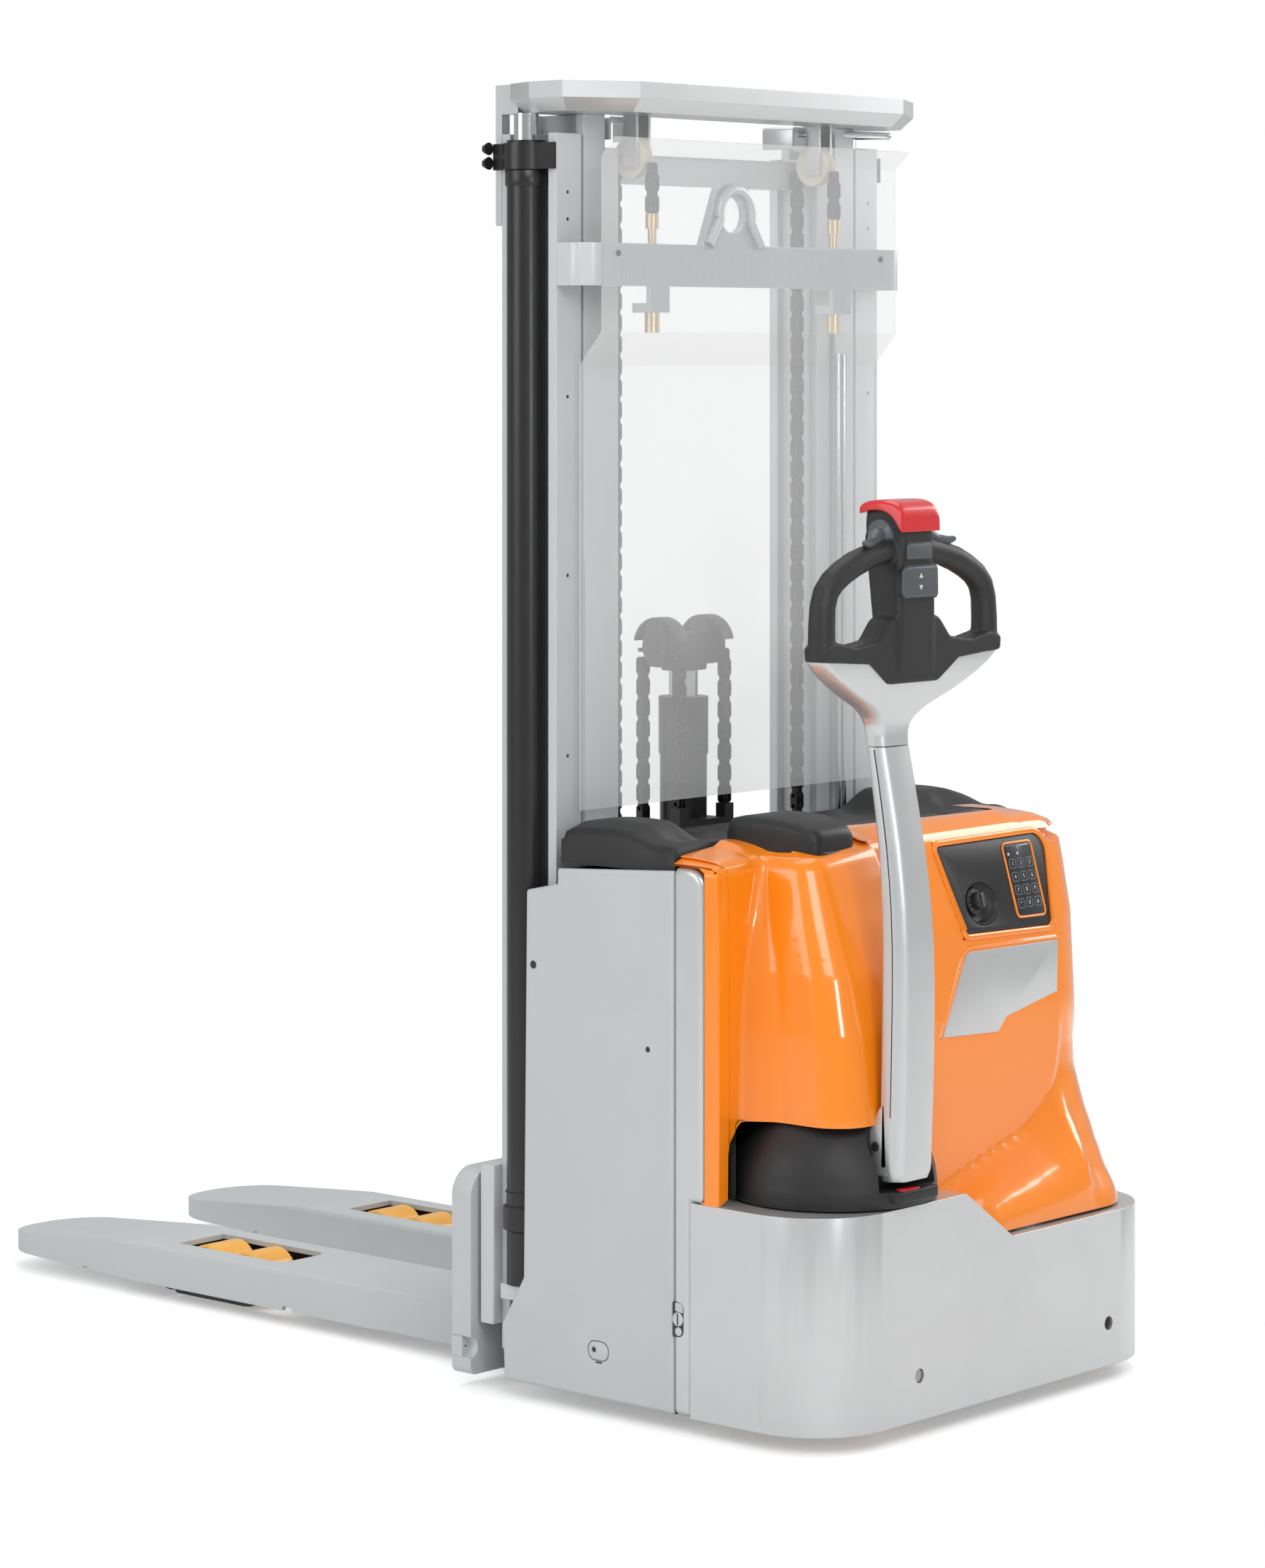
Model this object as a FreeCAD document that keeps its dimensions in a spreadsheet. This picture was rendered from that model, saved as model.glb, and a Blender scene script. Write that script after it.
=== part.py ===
import FreeCAD, Part
import math
import os
import Sketcher

V = FreeCAD.Vector


# Driving dimensions (mm)
# X runs across (the tiller is at -X), Y from the rear of the skirt towards the fork tips, Z up.
DIMENSIONS = {
    # chassis
    "chassis_half": 400, "skirt_bottom": 24, "skirt_top": 323, "skirt_low_top": 248, "skirt_slope_start": -90,
    "skirt_slope_end": 19, "skirt_rear": 0, "skirt_front": 245, "skirt_radius": 120, "skirt_wall": 6, "deck_thick": 8, "ring_gap": 0.3,
    "skirt_hole_radius": 10, "skirt_hole_left": -197, "skirt_hole_right": 252, "skirt_hole_height": 86,
    "column_rear": 220, "column_front": 277, "column_top": 787, "column_width": 54, "column_radius": 30, "column_edge": 10,
    "side_rear": 277, "side_front": 556, "side_bottom": 25, "side_top": 781, "side_thick": 8,
    "side_top_front": 496, "side_step_height": 746, "side_front_height": 733, "side_kink_y": 562,
    "side_kink_height": 177, "side_nose_y": 604, "side_nose_height": 105, "side_toe_y": 599, "panel_chamfer": 3,
    "base_thick": 12, "base_front": 509, "bulkhead_y": 478, "bulkhead_thick": 12, "bulkhead_top": 768,
    "battery_inset": 100, "battery_rear": 300, "battery_front": 470, "battery_bottom": 60, "battery_top": 700,
    # rear cover
    "cover_bottom": 323, "cover_top": 820, "cover_left_top": 808, "cover_front": 281, "cover_left_rear": 176,
    "cover_right_start": -100, "cover_right_inset": 24, "cover_foot_y": 15, "cover_foot_height": 259,
    "cover_edge_radius": 16, "cover_left_radius": 14, "foot_corner_radius": 100, "foot_start": -62, "foot_crest_y": 84,
    "foot_crest_height": 420, "foot_crown": 30,
    "cover_waist_y": 90, "cover_waist_height": 430, "cover_mid_y": 100, "cover_mid_height": 549,
    "cover_lean_y": 108, "cover_lean_height": 674, "cover_lean_top_y": 146,
    "barrel_low_radius": 110, "barrel_mid_radius": 108, "barrel_high_radius": 94, "barrel_top_radius": 78,
    "barrel_bottom": 443, "barrel_mid_height": 560, "barrel_high_height": 705, "barrel_mid_y": 146,
    "barrel_high_y": 174, "barrel_top_y": 192, "dome_gap": 6, "cover_curve_y": 58, "cover_curve_height": 345,
    "cover_lip_y": 34,
    "panel_left": 18, "panel_right": 261, "panel_depth": 5, "panel_radius": 16, "panel_top": 806, "knob_radius": 13,
    "knob_height": 11, "knob_x": 106, "knob_z": 709,
    "cap_half_width": 60, "cap_nose_half": 40, "cap_rear": 134, "cap_front": 280, "cap_bottom": 783, "cap_top": 849,
    "cap_nose_top": 829, "cap_ridge_rear": 190, "cap_ridge_front": 258, "cap_front_top": 840, "cap_edge": 12,
    "cap_gap": 2,
    "tray_inset": 10, "tray_rear": 281, "tray_front": 496, "tray_bottom": 768, "tray_top": 808, "tray_end_rise": 31,
    "tray_end_width": 92, "tray_radius": 18, "tray_dome_rear": 335, "tray_dome_rise": 14, "tray_dome_slope": 26,
    # outer mast
    "rail_rear": 524, "rail_front": 631, "flange_thick": 16, "web_thick": 10, "rail_inset": 30,
    "outer_rail_width": 54, "outer_web_depth": 34, "outer_bottom": 60, "outer_top": 1818, "rail_gap": 5,
    "middle_rail_width": 46, "middle_web_depth": 12, "inner_rail_width": 31, "inner_web_depth": 9,
    "inner_rear": 530, "inner_front": 625, "middle_bottom": 78, "inner_bottom": 78, "inner_top": 1800,
    "crossbar_rear": 466, "crossbar_bend": 22, "crossbar_bottom": 1598, "crossbar_top": 1660, "crossbar_thick": 8,
    "eye_centre": -45, "eye_base_half": 69, "eye_top": 1751, "eye_hole_z": 1706, "eye_hole_radius": 28,
    "eye_rim": 14, "eye_thick": 14,
    "foot_tie_rear": 492, "foot_tie_front": 509, "foot_tie_top": 300,
    "bracket_half": 18, "bracket_front": 658, "bracket_bottom": 97, "bracket_top": 327,
    # lift cylinders
    "cylinder_inset": 4, "cylinder_y": 586, "cylinder_radius": 28.5, "cylinder_bore": 23.5, "cylinder_bottom": 160, "cylinder_seat": 22, "seat_inset": 10,
       "cylinder_top": 1808, "gland_bottom": 1745, "rod_radius": 18, "rod_clear": 0.5, "rod_bottom": 380,
    "clamp_radius": 34, "clamp_bottom": 1766, "clamp_top": 1804, "clamp_ear": 8, "clamp_reach": 10,
    # middle mast
    "middle_top": 1847, "plate_top": 1890, "plate_rear": 421, "plate_rear_inset": 96, "plate_wide_y": 480,
    "plate_overhang": 5, "plate_wide_front_y": 545, "plate_front": 605, "plate_front_inset": 20, "plate_bevel": 19,
    "middle_tie_rear": 515, "middle_tie_front": 524, "middle_tie_bottom": 110, "middle_tie_top": 260,
    "pipe_inset": 2, "pipe_pitch": 14, "pipe_radius": 4, "fitting_radius": 5, "fitting_z": 1222, "fitting_height": 26,
    "pipe_top": 1500, "hose_cover_top": 1202, "hose_cover_bottom": 780, "hose_cover_thick": 3, "seat_gap": 0.3,
    "guide_width": 18, "guide_gap": 5, "guide_thick": 12, "guide_bottom": 1686,
    "roller_radius": 29, "mast_roller_width": 16, "middle_roller_z": 150,
    "sheave_inset": 19, "sheave_y": 518, "sheave_z": 1786, "sheave_radius": 36.5, "sheave_groove": 30,
    "sheave_width": 18, "sheave_hub": 10, "hanger_thick": 5, "hanger_gap": 2, "chain_width": 18, "chain_thick": 12, "chain_pitch": 38, "chain_waist": 4,
    "chain_anchor_z": 1704, "shelf_z": 1560, "shelf_thick": 14, "anchor_radius": 6.5, "nut_height": 29,
    "nut_radius": 11, "front_chain_bottom": 230,
    # inner mast
    "inner_tie_rear": 530, "inner_tie_front": 546, "inner_tie_bottom": 90, "inner_tie_top": 220,
    "inner_head_rear": 568, "inner_head_front": 609, "inner_head_bottom": 1752, "inner_head_top": 1794,
    "free_y": 603, "free_radius": 35.5, "free_bore": 29, "free_collar_radius": 37.5, "free_bottom": 90,
    "free_barrel_top": 899, "free_collar_top": 985, "free_rod_radius": 22, "free_rod_bottom": 200,
    "head_bottom": 1024, "head_top": 1050, "head_half": 72, "head_rear": 584, "head_front": 622,
    "head_sheave_x": 52, "head_sheave_z": 1061, "head_sheave_y": 602, "head_sheave_radius": 36.5,
    "head_sheave_groove": 30, "carriage_chain_bottom": 823, "carriage_chain_end": 320, "arch_inner": 43, "arch_outer": 46,
    "foot_plate_bottom": 78, "foot_plate_top": 90,
    # carriage
    "carriage_rear": 665, "carriage_front": 703, "carriage_bottom": 20, "carriage_top": 317,
    "carriage_corner": 40, "leg_opening_gap": 10, "side_plate_gap": 41, "side_plate_thick": 16,
    "side_plate_rear": 560, "side_plate_bottom": 112, "side_plate_top": 420, "carriage_roller_width": 12,
    "carriage_roller_radius": 26, "carriage_roller_y": 577.5, "carriage_roller_low": 160,
    "carriage_roller_high": 380, "axle_radius": 9, "lug_rear": 628, "notch_height": 60, "notch_radius": 15,
    "lug_bottom": 240,
    # forks
    "fork_x": 190, "fork_width": 180, "fork_top": 84, "fork_bottom": 22, "fork_wall": 8, "heel_end": 960, "heel_step": 3, "heel_slant": 30,
    "fork_tip": 1853, "fork_tip_radius": 84, "fork_edge_radius": 7, "fork_tip_drop": 26, "fork_tip_rise": 10,
    "fork_tip_slope": 330, "fork_notch_rear": 1170, "fork_notch_front": 1632, "notch_half": 12, "notch_depth": 7,
    "window_rear": 1223, "window_front": 1458,
    "window_width": 98,
    # legs and rollers
    "leg_gap": 6, "leg_bottom": 24, "leg_rear": 509, "leg_fork_end": 1190, "leg_cheek": 8, "leg_nose": 1466,
    "leg_tip": 1515, "leg_tip_taper": 20, "nose_bottom": 9, "roller_r": 42.5, "roller_width": 75, "roller_front_y": 1409,
    "roller_rear_y": 1319, "rocker_bottom": 9, "rocker_rear": 1200, "rocker_front": 1450, "rocker_slope": 90, "rocker_rise": 12, "pin_radius": 8,
    "axle_clear": 0.1,
    # steering, drive wheel and castor
    "steer_inset": 184, "steer_y": 139, "dome_radius": 146, "dome_top": 392, "shoulder_radius": 103,
    "shoulder_top": 437, "dome_bottom": 329, "lip_bottom": 335, "lip_rear": -15, "slot_floor": 349, "slot_front": 77, "slot_gap": 5, "wheel_radius": 115, "wheel_width": 70, "hub_radius": 50,
    "drive_gap": 8, "drive_height": 250, "drive_block": 60, "shaft_radius": 15, "steer_shaft_radius": 60,
    "castor_inset": 138, "castor_y": 150, "castor_radius": 70, "castor_width": 60, "castor_trail": 28,
    "castor_fork_top": 175, "castor_fork_thick": 6,
    # tiller
    "tiller_pivot_y": 12, "tiller_pivot_z": 413, "arm_half_low": 42, "arm_half_neck": 36, "arm_bottom": 361,
    "arm_low_y": -14, "arm_rear": -20, "arm_mid_y": -18.6, "arm_neck_z": 958, "arm_neck_y": 23, "arm_depth_low": 38,
    "arm_depth_neck": 31, "arm_corner": 13, "ear_half": 26, "ear_top": 452, "ear_front": 34, "ear_rear": -2,
    "ear_gap": 2, "ear_radius": 13,
    "head_y": 12, "head_width_half": 201, "head_depth": 34, "head_edge": 12, "joint_z": 1084, "joint_half": 192, "head_side_rise": 70, "head_side_bend": 60,
    "head_corner_in": 4, "head_corner_drop": 40, "head_corner": 32, "head_arch_half": 80, "head_arch_bend": 60,
    "window_corner": 6, "window_bow": 3, "window_foot_in": 15, "window_foot_bend": 12, "window_side_rise": 55,
    "window_side_bend": 50, "window_shoulder_in": 7, "window_shoulder_drop": 24, "window_shoulder_bend": 22,
    "window_arch_drop": 4, "window_arch_bend": 30, "window_sill_rise": 25, "window_sill_bend": 20,
   
    "bib_z": 1047, "bib_half": 52, "bib_shoulder_half": 100, "bib_shoulder_z": 1076, "grip_top": 1240,
    "window_in": 56, "window_out": 167, "window_low": 1095, "window_top": 1208,
    "hub_half": 43, "hub_low": 1100, "hub_rear": -12, "hub_front": 54, "hub_top": 1288, "boss_y": 24, "boss_z": 1246,
    "boss_radius": 22, "boss_out": 52, "lever_out": 104, "lever_thick": 12,
    "belly_half": 46, "belly_rear": -17, "belly_low": 1256, "belly_front": 58, "belly_top": 1300, "belly_thick": 8,
    # clear guard
    "guard_inset": 62, "guard_thick": 4, "guard_flare_y": 436, "guard_flare_z": 1809, "guard_upper_y": 462,
    "guard_bend_z": 1783, "guard_upper_z": 1531, "guard_lower_y": 504, "guard_lower_z": 1482, "guard_bottom": 845,
}

doc = FreeCAD.newDocument("Stacker")
sheet = doc.addObject("Spreadsheet::Sheet", "Sizes")
for row, (name, value) in enumerate(DIMENSIONS.items(), start=1):
    sheet.set("A%d" % row, name)
    sheet.set("B%d" % row, repr(value))
    sheet.setAlias("B%d" % row, name)
doc.recompute()


class Size:
    """A length that keeps the sheet expression it comes from."""

    def __init__(self, value, text):
        self.value, self.text = float(value), text

    def __float__(self):
        return self.value

    def __add__(self, other):
        return Size(self.value + float(other), "(%s + %s)" % (self.text, text(other)))

    def __radd__(self, other):
        return Size(float(other) + self.value, "(%s + %s)" % (text(other), self.text))

    def __sub__(self, other):
        return Size(self.value - float(other), "(%s - %s)" % (self.text, text(other)))

    def __rsub__(self, other):
        return Size(float(other) - self.value, "(%s - %s)" % (text(other), self.text))

    def __mul__(self, other):
        return Size(self.value * float(other), "(%s * %s)" % (self.text, text(other)))

    __rmul__ = __mul__

    def __truediv__(self, other):
        return Size(self.value / float(other), "(%s / %s)" % (self.text, text(other)))

    def __neg__(self):
        return Size(-self.value, "(0 - %s)" % self.text)


def text(value):
    return value.text if isinstance(value, Size) else "(%r)" % float(value)


class Sheet:
    """Sizes by name, each bound to its cell."""

    def __getattr__(self, name):
        return Size(DIMENSIONS[name], "Sizes." + name)


S = Sheet()

# Widths that follow the chassis and, rail by rail, the gaps of the mast
half = S.chassis_half
cover_right = half - S.cover_right_inset
tray_half = half - S.tray_inset
seat_half = half - S.seat_inset
outer_rail_out = half - S.rail_inset
outer_rail_in = outer_rail_out - S.outer_rail_width
outer_web_out = outer_rail_out - S.outer_web_depth
middle_rail_out = outer_rail_in - S.rail_gap
middle_rail_in = middle_rail_out - S.middle_rail_width
middle_web_out = middle_rail_out - S.middle_web_depth
inner_rail_out = middle_rail_in - S.rail_gap
inner_rail_in = inner_rail_out - S.inner_rail_width
inner_web_out = inner_rail_out - S.inner_web_depth
crossbar_half = outer_rail_out - S.crossbar_bend
cylinder_x = outer_rail_out - S.cylinder_inset
plate_half = half + S.plate_overhang
plate_rear_half = half - S.plate_rear_inset
plate_front_half = half - S.plate_front_inset
guard_half = half - S.guard_inset
castor_x = half - S.castor_inset
battery_half = half - S.battery_inset
side_plate_out = inner_rail_in - S.side_plate_gap
side_plate_in = side_plate_out - S.side_plate_thick
sheave_x = inner_rail_in - S.sheave_inset
pipe_x = middle_rail_in + S.pipe_inset
steer_x = S.steer_inset - half
foot_top = S.foot_crest_height + S.foot_crown
tray_end_top = S.tray_top + S.tray_end_rise
tray_dome_low = S.tray_top + S.tray_dome_rise


def bind(obj, path, value):
    obj.setExpression(path, text(value))


PLANES = {"XY": "XY_Plane", "XZ": "XZ_Plane", "YZ": "YZ_Plane"}


class Piece:
    """One body, built from sketches on its own origin planes.

    Loops are lists of (u, v) or (u, v, corner radius), or ("circle", u, v, radius).
    """

    def __init__(self, name):
        self.name = name
        self.body = doc.addObject("PartDesign::Body", name)

    def new(self, kind):
        return self.body.newObject(kind, "%s_%s" % (self.name, kind.split("::")[1]))

    def sketch(self, plane, loops, origin):
        sk = self.new("Sketcher::SketchObject")
        support = [o for o in self.body.Origin.OriginFeatures if o.Role == PLANES[plane]][0]
        sk.AttachmentSupport = [(support, "")]
        sk.MapMode = "FlatFace"
        x, y, z = origin
        local = {"XY": (x, y, z), "XZ": (x, z, -1 * y), "YZ": (y, z, x)}[plane]
        for axis, value in zip("xyz", local):
            bind(sk, "AttachmentOffset.Base." + axis, value)
        for loop in loops:
            if loop[0] == "circle":
                u, v, radius = loop[1:]
                ring = sk.addGeometry(Part.Circle(V(float(u), float(v), 0), V(0, 0, 1), float(radius)), False)
                self.fix(sk, ring, 3, u, v)
                at = sk.addConstraint(Sketcher.Constraint("Radius", ring, float(radius)))
                bind(sk, "Constraints[%d]" % at, radius)
                continue
            self.outline(sk, loop)
        return sk

    def outline(self, sk, loop):
        """Draws a closed outline; a corner with a radius becomes an arc tangent to both its sides."""
        corners = [V(float(point[0]), float(point[1]), 0) for point in loop]
        ends = []
        for i, point in enumerate(loop):
            if len(point) == 2:
                ends.append((corners[i], corners[i]))
                continue
            back = (corners[i - 1] - corners[i]).normalize()
            on = (corners[(i + 1) % len(loop)] - corners[i]).normalize()
            reach = float(point[2]) / math.tan(back.getAngle(on) / 2)
            ends.append((corners[i] + back * reach, corners[i] + on * reach))
        lines = [sk.addGeometry(Part.LineSegment(ends[i][1], ends[(i + 1) % len(loop)][0]), False)
                 for i in range(len(loop))]
        for i, point in enumerate(loop):
            if len(point) == 2:
                sk.addConstraint(Sketcher.Constraint("Coincident", lines[i - 1], 2, lines[i], 1))
                self.fix(sk, lines[i], 1, point[0], point[1])
                continue
            first, last = ends[i]
            back, on = first - corners[i], last - corners[i]
            middle = corners[i] + (back + on).normalize() * math.hypot(back.Length, float(point[2]))
            left_turn = back.cross(on).z < 0
            begin, finish = (first, last) if left_turn else (last, first)
            angles = [math.atan2(p.y - middle.y, p.x - middle.x) for p in (begin, finish)]
            arc = sk.addGeometry(Part.ArcOfCircle(Part.Circle(middle, V(0, 0, 1), float(point[2])), *angles), False)
            sk.addConstraint(Sketcher.Constraint("Tangent", lines[i - 1], 2, arc, 1 if left_turn else 2))
            sk.addConstraint(Sketcher.Constraint("Tangent", lines[i], 1, arc, 2 if left_turn else 1))
            at = sk.addConstraint(Sketcher.Constraint("Radius", arc, float(point[2])))
            bind(sk, "Constraints[%d]" % at, point[2])
            corner = sk.addGeometry(Part.Point(corners[i]), True)
            self.fix(sk, corner, 1, point[0], point[1])
            sk.addConstraint(Sketcher.Constraint("PointOnObject", corner, 1, lines[i - 1]))
            sk.addConstraint(Sketcher.Constraint("PointOnObject", corner, 1, lines[i]))

    @staticmethod
    def fix(sk, geometry, end, u, v):
        for kind, value in (("DistanceX", u), ("DistanceY", v)):
            at = sk.addConstraint(Sketcher.Constraint(kind, -1, 1, geometry, end, float(value)))
            bind(sk, "Constraints[%d]" % at, value)

    def pad(self, plane, low, high, *loops):
        """Adds the outline between two coordinates along the plane's normal."""
        return self.extrude("PartDesign::Pad", plane, low, high, loops)

    def cut(self, plane, low, high, *loops):
        """Removes the outline between two coordinates along the plane's normal."""
        return self.extrude("PartDesign::Pocket", plane, low, high, loops)

    def extrude(self, kind, plane, low, high, loops):
        runs_up = (plane == "XZ") == (kind == "PartDesign::Pocket")
        start = low if runs_up else high
        origin = {"XY": (0, 0, start), "XZ": (0, start, 0), "YZ": (start, 0, 0)}[plane]
        sk = self.sketch(plane, loops, origin)
        feature = self.new(kind)
        feature.Profile = sk
        bind(feature, "Length", high - low)
        return feature

    def fillet(self, radius, where, kind="PartDesign::Fillet"):
        """Rounds the edges of the body's tip that the test picks."""
        tip = self.body.Tip
        tip.recompute(True)
        names = ["Edge%d" % n for n, edge in enumerate(tip.Shape.Edges, start=1) if where(edge)]
        if not names:
            raise SystemExit("no edge to round on " + self.name)
        feature = self.new(kind)
        feature.Base = (tip, names)
        bind(feature, "Radius" if kind == "PartDesign::Fillet" else "Size", radius)
        return feature

    def chamfer(self, size, where):
        return self.fillet(size, where, "PartDesign::Chamfer")

    def loft(self, sections, plane="XY", ruled=False):
        """Lofts through outlines given as (place along the plane's normal, outline), with equal numbers of corners."""
        sketches = []
        for level, outline in sections:
            origin = {"XY": (0, 0, level), "XZ": (0, level, 0), "YZ": (level, 0, 0)}[plane]
            sketches.append(self.sketch(plane, [outline], origin))
        feature = self.new("PartDesign::AdditiveLoft")
        feature.Profile = sketches[0]
        feature.Sections = sketches[1:]
        feature.Ruled = ruled
        return feature

    def turn(self, axis, origin, *loops, cut=False):
        """Revolves outlines (distance along the axis, distance from it) about an axis through origin."""
        plane = {"X": "XZ", "Y": "YZ", "Z": "XZ"}[axis]
        if axis == "Z":
            loops = [[(r, a) + tuple(rest) for a, r, *rest in loop] for loop in loops]
        sk = self.sketch(plane, loops, origin)
        feature = self.new("PartDesign::Groove" if cut else "PartDesign::Revolution")
        feature.Profile = sk
        feature.ReferenceAxis = (sk, ["V_Axis" if axis == "Z" else "H_Axis"])
        feature.Angle = 360
        return feature


def edge_at(axis=None, x=None, y=None, z=None, tol=0.01):
    """A test for edges that lie in the given planes, and along an axis if one is named."""
    direction = {"X": V(1, 0, 0), "Y": V(0, 1, 0), "Z": V(0, 0, 1)}.get(axis)

    def test(edge):
        box = edge.BoundBox
        for low, high, value in ((box.XMin, box.XMax, x), (box.YMin, box.YMax, y), (box.ZMin, box.ZMax, z)):
            if value is not None and (abs(low - float(value)) > tol or abs(high - float(value)) > tol):
                return False
        if direction is not None:
            ends = [v.Point for v in edge.Vertexes]
            if len(ends) != 2 or abs((ends[1] - ends[0]).normalize().dot(direction)) < 0.999:
                return False
        return True
    return test


def box_loop(u0, u1, v0, v1, radius=None):
    corners = [(u0, v0), (u1, v0), (u1, v1), (u0, v1)]
    return corners if radius is None else [c + (radius,) for c in corners]


def mirrored(piece):
    twin = doc.addObject("Part::Mirroring", piece.name + "_right")
    twin.Source = piece.body
    twin.Base = V(0, 0, 0)
    twin.Normal = V(1, 0, 0)
    return twin


NODES = {}
ROW_X = (plate_half + steer_x - S.head_width_half) / 2
ROW_Y = (S.fork_tip + S.arm_rear) / 2


def node(label, *pieces):
    """Files pieces under one node and moves it so that the model's middle is at X = 0, Y = 0."""
    objects = [p.body if isinstance(p, Piece) else p for p in pieces]
    if len(objects) > 1:
        whole = doc.addObject("Part::Compound", label)
        whole.Links = objects
    else:
        whole = objects[0]
    whole.Label = label
    bind(whole, "Placement.Base.x", -ROW_X)
    bind(whole, "Placement.Base.y", -ROW_Y)
    NODES[label] = whole
    return whole



# Chassis
base = Piece("base")
base.pad("XY", S.skirt_bottom, S.skirt_bottom + S.base_thick,
         box_loop(-half + S.side_thick, half - S.side_thick,
                  S.column_front, S.base_front))
base.pad("XZ", S.bulkhead_y, S.bulkhead_y + S.bulkhead_thick,
         box_loop(-half + S.side_thick, half - S.side_thick,
                  S.skirt_bottom, S.bulkhead_top))
base.pad("XY", S.skirt_bottom + S.base_thick, S.battery_bottom,
         box_loop(-battery_half, battery_half, S.battery_rear, S.battery_front))
node("chassis_base", base)

battery = Piece("battery")
battery.pad("XY", S.battery_bottom, S.battery_top,
            box_loop(-battery_half, battery_half, S.battery_rear, S.battery_front))
node("battery", battery)

skirt = Piece("skirt_shell")
rear, front = S.skirt_rear, S.skirt_front
skirt.pad("XY", S.skirt_bottom, S.skirt_top,
          [(-half, rear, S.skirt_radius), (half, rear, S.skirt_radius), (half, front), (-half, front)])
inner_radius = S.skirt_radius - S.skirt_wall
slope = [(S.skirt_slope_start, S.skirt_top), (S.skirt_slope_end, S.skirt_low_top), (half + 1, S.skirt_low_top),
         (half + 1, S.skirt_top + 1), (S.skirt_slope_start, S.skirt_top + 1)]
skirt.cut("XZ", rear - 1, front + 1, slope)
skirt.cut("XY", S.skirt_low_top - S.deck_thick, S.skirt_top - S.deck_thick,
          [(-half + S.skirt_wall, rear + S.skirt_wall, S.skirt_radius - S.skirt_wall),
           (S.skirt_slope_start - S.deck_thick, rear + S.skirt_wall), (S.skirt_slope_start - S.deck_thick, front),
           (-half + S.skirt_wall, front)])
skirt.cut("XY", S.skirt_bottom, S.skirt_low_top - S.deck_thick,
          [(-half + S.skirt_wall, rear + S.skirt_wall, inner_radius),
           (half - S.skirt_wall, rear + S.skirt_wall, inner_radius),
           (half - S.skirt_wall, front), (-half + S.skirt_wall, front)])
skirt.cut("XY", S.skirt_top - S.deck_thick, S.skirt_top, ("circle", steer_x, S.steer_y, S.steer_shaft_radius + 8))
skirt.cut("XZ", rear - 1, rear + S.skirt_wall + 1,
          ("circle", S.skirt_hole_left, S.skirt_hole_height, S.skirt_hole_radius),
          ("circle", S.skirt_hole_right, S.skirt_hole_height, S.skirt_hole_radius))
skirt.turn("Z", (steer_x, S.steer_y, 0),
           [(S.skirt_top - 1, S.steer_shaft_radius + 8), (S.skirt_top - 1, S.steer_shaft_radius + 34),
            (S.dome_bottom - S.ring_gap, S.steer_shaft_radius + 34),
            (S.dome_bottom - S.ring_gap, S.steer_shaft_radius + 8)])
node("skirt", skirt)

column = Piece("column")
column.pad("YZ", -half, -half + S.column_width,
           [(S.column_rear, S.side_bottom), (S.column_front, S.side_bottom), (S.column_front, S.column_top),
            (S.column_rear, S.column_top, S.column_radius)])
column.cut("XY", S.side_bottom, S.skirt_top,
           box_loop(-half - 1, -half + S.column_width + 1, S.column_rear - 1, S.skirt_front))
column.fillet(S.column_edge, lambda edge: edge.BoundBox.XMax < -float(half) + 0.01
              and edge.BoundBox.YMax < float(S.column_rear + S.column_radius) + 0.01
              and edge.BoundBox.ZMax > float(S.skirt_top) + 1)
node("rear_columns", column, mirrored(column))

panel = Piece("panel")
panel.pad("YZ", -half, -half + S.side_thick,
          [(S.side_rear, S.side_bottom), (S.side_toe_y, S.side_bottom), (S.side_nose_y, S.side_nose_height),
           (S.side_kink_y, S.side_kink_height), (S.side_front, S.side_front_height),
           (S.side_top_front, S.side_step_height), (S.side_top_front, S.tray_bottom), (S.side_rear, S.side_top)])
panel.chamfer(S.panel_chamfer, edge_at(x=-half))
node("side_panels", panel, mirrored(panel))

cover = Piece("cover")
cover.pad("YZ", S.skirt_slope_start, cover_right,
          [(S.cover_foot_y, S.skirt_low_top), (S.cover_foot_y, S.cover_foot_height), (S.cover_lip_y, S.cover_bottom - 20, 40),
           (S.cover_curve_y, S.cover_curve_height, 60), (S.foot_crest_y, S.foot_crest_height, 60),
           (S.cover_waist_y + 4, foot_top), (S.column_rear, foot_top),
           (S.column_rear, S.skirt_low_top)])
SWOOSH = [  # inset from the right side, depth below the foot's top and bend radius of the line it rises to
    (436, 158, 0), (330, 128, 160), (158, 78, 160), (110, 16, 90), (1, 4, 0)]
line = [(cover_right - inset, foot_top - below) + ((bend,) if bend else ()) for inset, below, bend in SWOOSH]
cover.cut("XZ", S.cover_foot_y - 1, S.column_rear + 1,
          line + [(cover_right + 1, foot_top + 1), (S.skirt_slope_start - 1, foot_top + 1),
                  (S.skirt_slope_start - 1, S.cover_bottom - 31)])
cover.cut("XZ", S.cover_foot_y - 1, S.column_rear + 1,
          [(S.skirt_slope_start - 1, S.skirt_low_top - 1), (S.skirt_slope_end, S.skirt_low_top - 1),
           (S.skirt_slope_end, S.skirt_low_top), (S.skirt_slope_start, S.skirt_top),
           (S.skirt_slope_start - 1, S.skirt_top)])
cover.cut("XY", S.skirt_low_top - 1, foot_top + 1,
          [(cover_right - S.foot_corner_radius - 9, S.cover_foot_y - 1), (cover_right + 1, S.cover_foot_y - 1),
           (cover_right + 1, S.column_rear + 1), (cover_right, S.column_rear + 1),
           (cover_right, S.cover_foot_y, S.foot_corner_radius), (cover_right - S.foot_corner_radius - 9, S.cover_foot_y)])
cover.pad("XY", S.cover_bottom, S.cover_left_top,
          box_loop(-half, S.cover_right_start, S.cover_left_rear, S.cover_front))
cover.fillet(S.cover_left_radius, edge_at("X", y=S.cover_left_rear, z=S.cover_left_top))
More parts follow.
